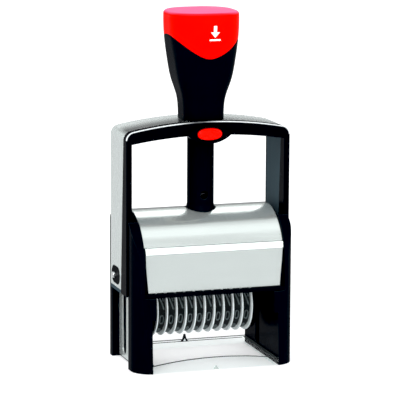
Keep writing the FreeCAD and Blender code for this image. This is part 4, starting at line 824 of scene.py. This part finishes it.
def section_point(i, z, shrink):
    """Point i of the section at height z, widened so that the head keeps its seen width."""
    r = corner_at(z)
    grow = ((1 - ROUND_LOW) * FLAT_WEIGHT + ROUND_LOW) / ((1 - r) * FLAT_WEIGHT + r)
    quarter, k = divmod(i, SIDE_POINTS)
    flat = 1 - r
    if k < FLAT_POINTS:
        x, y = -flat + 2 * flat * k / FLAT_POINTS, -1.0
    else:
        a = -math.pi / 2 + math.pi / 2 * (k - FLAT_POINTS) / ARC_POINTS
        x, y = flat + r * math.cos(a), -flat + r * math.sin(a)
    for _ in range(quarter):
        x, y = -y, x
    half = half_at(z) - shrink
    return x * grow * half, y * grow * half, z


def ring_at(height, shrink):
    """A ring on the surface height(x, y), met by a few steps of search."""
    ring = []
    for i in range(RING_POINTS):
        z = 125.0
        for _ in range(30):
            x, y, _z = section_point(i, z, shrink)
            z = height(x, y)
        ring.append(section_point(i, z, shrink))
    return ring


def level_ring(z, shrink=0.0):
    return ring_at(lambda x, y: z, shrink)


def arch_ring(lift, shrink=0.0):
    """A ring that lies on the arch: a flat crown across X."""
    centre = ARCH_END_Z - math.sqrt(ARCH_RADIUS ** 2 - ARCH_END_X ** 2)
    return ring_at(lambda x, y: centre + math.sqrt(ARCH_RADIUS ** 2 - x * x) + lift, shrink)


def cap_ring(lift, shrink=0.0):
    """A ring along the cap's lower edge: low in front and behind, high at the sides."""
    def height(x, y):
        side = x * x / (x * x + y * y)
        return CAP_EDGE_Z + lift + CAP_EDGE_RISE * (1 - (1 - side) ** CAP_EDGE_POWER)

    return ring_at(height, shrink)


def between(low, high, steps, shrink=0.0):
    """Rings from one ring up to another along the loft's own side."""
    rings = []
    for j in range(1, steps):
        f = j / steps
        heights = [a[2] + (b[2] - a[2]) * f for a, b in zip(low, high)]
        rings.append([section_point(k, z, shrink) for k, z in enumerate(heights)])
    return rings


def stack(rings):
    """Closed skin through rings of equal count, with a fan at each end."""
    verts = [v for ring in rings for v in ring]
    faces = ring_faces(len(rings), RING_POINTS)
    for ring, flip in ((0, True), (len(rings) - 1, False)):
        centre = tuple(sum(p[i] for p in rings[ring]) / RING_POINTS for i in range(3))
        verts.append(centre)
        middle = len(verts) - 1
        for k in range(RING_POINTS):
            a = ring * RING_POINTS + k
            b = ring * RING_POINTS + (k + 1) % RING_POINTS
            faces.append((middle, b, a) if flip else (middle, a, b))
    return verts, faces


# ------------------------------------------------------------------ handle: cap and grip
CAP_RIM_RADIUS, CAP_RIM_Z, CAP_TOP_Z = 1.5, 145.45, 146.3
CAP_ROOF_Z, CAP_ROOF_INSET = 143.45, 1.4
# Rings of the cap's lower lip, from the inner skirt out to the side: lift, inset
CAP_LIP = [(0.5, 1.3), (0.3, 0.9), (0.24, 0.22), (0.3, 0.06), (0.46, 0.0)]
DOME_STEPS = (0.93, 0.84, 0.72, 0.58, 0.43, 0.28, 0.14, 0.05)
GRIP_TOP_Z, GRIP_INSET = 143.3, 1.75
# Rings of the grip's shoulder below and inside the cap's edge: lift, inset
GRIP_SHOULDER = [(-0.1, 0.0), (-0.02, 0.05), (0.02, 0.2), (0.03, GRIP_INSET)]


def cap_shell():
    """Inner roof, inner skirt, rounded lower lip, side, rounded rim and dome."""
    lip = [cap_ring(lift, inset) for lift, inset in CAP_LIP]
    rim = level_ring(CAP_RIM_Z - CAP_RIM_RADIUS)
    rings = [level_ring(CAP_ROOF_Z, CAP_ROOF_INSET)] + lip
    rings += between(lip[-1], rim, 26) + [rim]
    for k in range(1, 9):
        a = math.pi / 2 * k / 8
        inset = CAP_RIM_RADIUS * (1 - math.cos(a))
        rim_z = CAP_RIM_Z - CAP_RIM_RADIUS * (1 - math.sin(a))
        ring = []
        for x, y, z in rim:
            scale = 1 - inset / half_at(z)
            ring.append((x * scale, y * scale, rim_z))
        rings.append(ring)
    top = rings[-1]
    for f in DOME_STEPS:
        dome_z = CAP_RIM_Z + (CAP_TOP_Z - CAP_RIM_Z) * (1 - f * f)
        rings.append([(x * f, y * f, dome_z) for x, y, z in top])
    shell = new_piece("cap_shell", *stack(rings), "plunger", "red_gloss")
    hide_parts("handle_cap")
    shell.visible_glossy = False
    return shell


def grip_shell():
    """Foot on the arch, waist, and the shoulder that runs up inside the cap."""
    foot = [arch_ring(0.03, 0.12), arch_ring(0.12)]
    shoulder = [cap_ring(lift, inset) for lift, inset in GRIP_SHOULDER]
    top = level_ring(GRIP_TOP_Z, GRIP_INSET)
    rings = foot + between(foot[-1], shoulder[0], 44) + shoulder
    rings += between(shoulder[-1], top, 6, GRIP_INSET) + [top]
    shell = new_piece("grip_shell", *stack(rings), "plunger", "black_gloss")
    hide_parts("handle_grip")


cap = cap_shell()
grip_shell()

# ------------------------------------------------------------------ lock button
BUTTON_POINTS = 72
BUTTON_HALF_X, BUTTON_HALF_Z = 5.28, 2.53
BUTTON_RIM = 1.35       # the rounded rim starts this far behind the front
STEM_END_Y = -5.9


def oval(half_x, half_z, power):
    """Superellipse in X and Z; power 2 is an ellipse."""
    points = []
    for k in range(BUTTON_POINTS):
        t = 2 * math.pi * k / BUTTON_POINTS
        c, s = math.cos(t), math.sin(t)
        points.append((half_x * math.copysign(abs(c) ** (2 / power), c),
                       half_z * math.copysign(abs(s) ** (2 / power), s)))
    return points


def lock_button():
    """A soft oval with a domed face toward -Y and a round stem behind it."""
    low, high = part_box("lock_button")
    front = low[1] / MM
    centre_z = (low[2] + high[2]) / 2 / MM
    # half x, half z, power, y: stem, collar, back of the oval, side
    rows = [
        (1.5, 1.5, 2.0, STEM_END_Y),
        (1.5, 1.5, 2.0, front + 1.1),
        (2.36, 2.36, 2.0, front + 1.1),
        (2.36, 2.36, 2.0, front + 2.6),
        (5.0, 2.46, 2.3, front + 2.6),
        (BUTTON_HALF_X, BUTTON_HALF_Z, 2.35, front + 2.3),
        (BUTTON_HALF_X, BUTTON_HALF_Z, 2.35, front + BUTTON_RIM),
    ]
    for k in range(1, 9):
        a = math.pi / 2 * k / 8
        half_x = BUTTON_HALF_X * (1 - (1 - math.cos(a)) * 0.34)
        half_z = BUTTON_HALF_Z * (1 - (1 - math.cos(a)) * 0.5)
        rows.append((half_x, half_z, 2.3, front + BUTTON_RIM - 1.05 * math.sin(a)))
    face_x, face_z = rows[-1][:2]
    for f in (0.8, 0.6, 0.4, 0.2, 0.06):
        rows.append((face_x * f, face_z * f, 2.2, front + 0.3 - 0.27 * (1 - f * f)))
    verts = []
    for half_x, half_z, power, y in rows:
        verts += [(x, y, centre_z + z) for x, z in oval(half_x, half_z, power)]
    faces = ring_faces(len(rows), BUTTON_POINTS)
    faces.append(tuple(reversed(range(BUTTON_POINTS))))
    faces.append(tuple(range(len(verts) - BUTTON_POINTS, len(verts))))
    piece = new_piece("lock_button_oval", verts, faces, "lock", "button_red")
    piece.visible_glossy = False
    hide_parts("lock_button")


lock_button()

# ------------------------------------------------------------------ index marks
# Name, outline in X and Z, the two Y faces, material
MARKS = [
    ("front_index_mark", [(-1.2, 0.35), (1.2, 0.35), (0.0, 1.9)],
     -22.42, -22.2, "mark_grey"),
    ("rear_index_mark",
     [(-2.55, 2.2), (1.25, 2.2), (0.3, 3.4), (-0.3, 5.6), (-1.0, 5.6), (-1.6, 3.4)],
     18.75, 19.2, "mark_black"),
    ("rear_index_light", [(-1.3, 2.5), (0.0, 2.5), (-0.65, 3.7)],
     18.62, 18.76, "white_plastic"),
    # a painted dark line along the rear wall's top edge, standing in for the dark refraction
    # there
    ("rear_dark_edge_line", [(-25.3, 2.25), (25.3, 2.25), (25.3, 2.5), (-25.3, 2.5)],
     18.8, 19.1, "mark_black"),
]


def flat_mark(name, outline, y_low, y_high, kind):
    """A thin prism along Y."""
    n = len(outline)
    verts = [(x, y, z) for y in (y_low, y_high) for x, z in outline]
    faces = [tuple(range(n)), tuple(range(2 * n - 1, n - 1, -1))] + ring_faces(2, n)
    piece = new_piece(name, verts, faces, "base", kind, smooth=False)
    bevel = piece.modifiers.new("edges", "BEVEL")
    bevel.width = 0.05 * MM
    bevel.segments = 1


for mark in MARKS:
    flat_mark(*mark)

# ------------------------------------------------------------------ sign on the cap
SIGN_LAYERS = (-0.07, 0.25)     # Y offsets of the print's two faces from the cap's surface
SIGN_RINGS = 4
CAP_TREE = BVHTree.FromPolygons(
    [v.co.copy() for v in cap.data.vertices],
    [tuple(p.vertices) for p in cap.data.polygons],
)


def cap_y(x, z):
    """Y of the cap's front surface."""
    hit = CAP_TREE.ray_cast(Vector((x * MM, -0.05, z * MM)), Vector((0, 1, 0)))[0]
    return hit.y / MM


def bar(x0, x1, z0, z1, steps):
    low = [(x0 + (x1 - x0) * k / steps, z0) for k in range(steps + 1)]
    return low + [(x1 - (x1 - x0) * k / steps, z1) for k in range(steps + 1)]


def printed(name, outlines):
    """A thin print that follows the cap's front, from convex outlines in X and Z."""
    verts, faces = [], []
    for outline in outlines:
        n = len(outline)
        centre_x, centre_z = sum(p[0] for p in outline) / n, sum(p[1] for p in outline) / n
        base = len(verts)
        for lift in SIGN_LAYERS:
            for r in range(SIGN_RINGS + 1):
                f = r / SIGN_RINGS
                for x, z in outline:
                    px, pz = centre_x + (x - centre_x) * f, centre_z + (z - centre_z) * f
                    verts.append((px, cap_y(px, pz) + lift, pz))
        layer = (SIGN_RINGS + 1) * n
        for start in (base, base + layer):
            faces += ring_faces(SIGN_RINGS + 1, n, start)
        for k in range(n):
            a = base + SIGN_RINGS * n + k
            b = base + SIGN_RINGS * n + (k + 1) % n
            faces.append((a, b, b + layer, a + layer))
    new_piece(name, verts, faces, "plunger", "print_white", smooth=False)


# An arrow that points down at a line
printed("cap_sign", [
    bar(x0=0.75, x1=2.05, z0=137.6, z1=140.3, steps=3),
    [(-0.5, 137.7), (1.4, 135.5), (3.3, 137.7)],
    bar(x0=-0.9, x1=3.7, z0=134.2, z1=134.85, steps=8),
])

# ------------------------------------------------------------------ floor
FLOOR_HALF, FLOOR_Z = 6.0, -0.00005     # metres


def build_floor():
    """White paper that glows a little and is an even soft white in reflections."""
    mesh = bpy.data.meshes.new("floor")
    corners = [(-1, -1), (1, -1), (1, 1), (-1, 1)]
    verts = [(x * FLOOR_HALF, y * FLOOR_HALF, FLOOR_Z) for x, y in corners]
    mesh.from_pydata(verts, [], [(0, 1, 2, 3)])
    floor = bpy.data.objects.new("floor", mesh)
    coll.objects.link(floor)

    paper = Shader("floor_paper")
    cloud = paper.noise(25.0, detail=3.0)
    paper.set({
        "Base Color": paper.mix(cloud, (0.90, 0.903, 0.906), (0.92, 0.92, 0.92)),
        "Roughness": 0.7,
        "Emission Color": (0.99, 0.995, 1.0), "Emission Strength": 0.27,
    })
    glow = {"Color": (0.985, 0.99, 1.0), "Strength": 0.61}
    reflected = paper.node("ShaderNodeEmission", glow).outputs[0]
    seen = paper.principled.outputs[0]
    paper.surface(paper.mix_shader(paper.glossy_ray(), seen, reflected))
    mesh.materials.append(MATERIALS["floor_paper"])


build_floor()

# ------------------------------------------------------------------ world
# Soft boxes as bands round the X axis: angle up from the front in degrees, brightness
STUDIO = [
    (-180, 0.6), (-30, 0.6), (-4, 0.5), (8, 0.5), (11, 2.4), (32, 2.4), (34, 0.56),
    (58, 0.58), (61, 1.04), (80, 1.04), (84, 0.68), (90, 0.7), (107, 0.7), (115, 0.7),
    (119, 0.98), (134, 0.98), (137, 0.0), (149, 0.0), (153, 0.45), (165, 0.64), (180, 0.64),
]
STUDIO_STRENGTH = 2.5   # the ramp holds brightness over this


def build_world():
    """Plain white light, and a studio seen only in reflections."""
    world = bpy.data.worlds.new("sky")
    scene.world = world
    world.use_nodes = True
    sky = Nodes(world.node_tree)
    output = sky.node("ShaderNodeOutputWorld")
    white = {"Color": (0.985, 0.99, 1.0), "Strength": 1.0}
    plain = sky.node("ShaderNodeBackground", white).outputs[0]
    direction = sky.separate(sky.node("ShaderNodeTexCoord").outputs["Generated"])
    frontward = sky.math("MULTIPLY", direction["Y"], -1.0)
    angle = sky.math("ARCTAN2", direction["Z"], frontward)
    turn = sky.ramp(angle, span=(-math.pi, math.pi))
    bands = sky.node("ShaderNodeValToRGB", {0: turn})
    stops = bands.color_ramp.elements
    while len(stops) > 1:
        stops.remove(stops[-1])
    for i, (degrees, brightness) in enumerate(STUDIO):
        position = (degrees + 180) / 360
        stop = stops[0] if i == 0 else stops.new(position)
        stop.position = position
        stop.color = (*(brightness / STUDIO_STRENGTH,) * 3, 1)
    tinted = sky.mix(1.0, bands.outputs[0], (0.98, 1.0, 1.0), blend_type="MULTIPLY")
    boxes = {"Color": tinted, "Strength": STUDIO_STRENGTH}
    studio = sky.node("ShaderNodeBackground", boxes).outputs[0]
    sky.feed(output, {0: sky.mix_shader(sky.glossy_ray(), plain, studio)})


build_world()

# ------------------------------------------------------------------ lights
# Name, place, height aimed at on the Z axis, (width, height), watts; lengths in metres
LIGHTS = [
    ("key", (-0.6, -0.7, 1.0), 0.07, (0.7, 0.7), 5.0),
    ("fill", (0.9, -0.6, 0.6), 0.07, (0.6, 0.8), 1.8),
    ("front", (-0.28, -1.0, 0.3), 0.02, (0.5, 0.35), 2.6),
    ("back", (0.1, 0.9, 0.9), 0.07, (1.0, 0.5), 2.6),
]


def area_light(name, place, aim_z, size, power):
    light = bpy.data.lights.new(name, "AREA")
    light.shape = "RECTANGLE"
    light.size, light.size_y = size
    light.energy = power
    lamp = bpy.data.objects.new(name, light)
    coll.objects.link(lamp)
    lamp.location = place
    aim = Vector((0, 0, aim_z)) - Vector(place)
    lamp.rotation_euler = aim.to_track_quat("-Z", "Y").to_euler()


for light_row in LIGHTS:
    area_light(*light_row)

# ------------------------------------------------------------------ camera and view
# Columns: right, up, back, place in metres
CAMERA_POSE = Matrix((
    (0.95199913, 0.05076791, -0.30186136, -0.312117),
    (-0.30606433, 0.17308303, -0.93614469, -0.967629),
    (0.00472097, 0.98359793, 0.18031314, 0.253002),
    (0, 0, 0, 1),
))

camera_data = bpy.data.cameras.new("camera")
camera = bpy.data.objects.new("camera", camera_data)
coll.objects.link(camera)
camera.matrix_world = CAMERA_POSE
camera_data.sensor_width = 36.0
camera_data.lens = 225.297
camera_data.clip_start, camera_data.clip_end = 0.05, 20.0
scene.camera = camera

scene.view_settings.view_transform = "Standard"
scene.view_settings.use_curve_mapping = True
curve = scene.view_settings.curve_mapping
curve.black_level = (0.006, 0.006, 0.0055)     # deepens the darkest tones a little
curve.update()
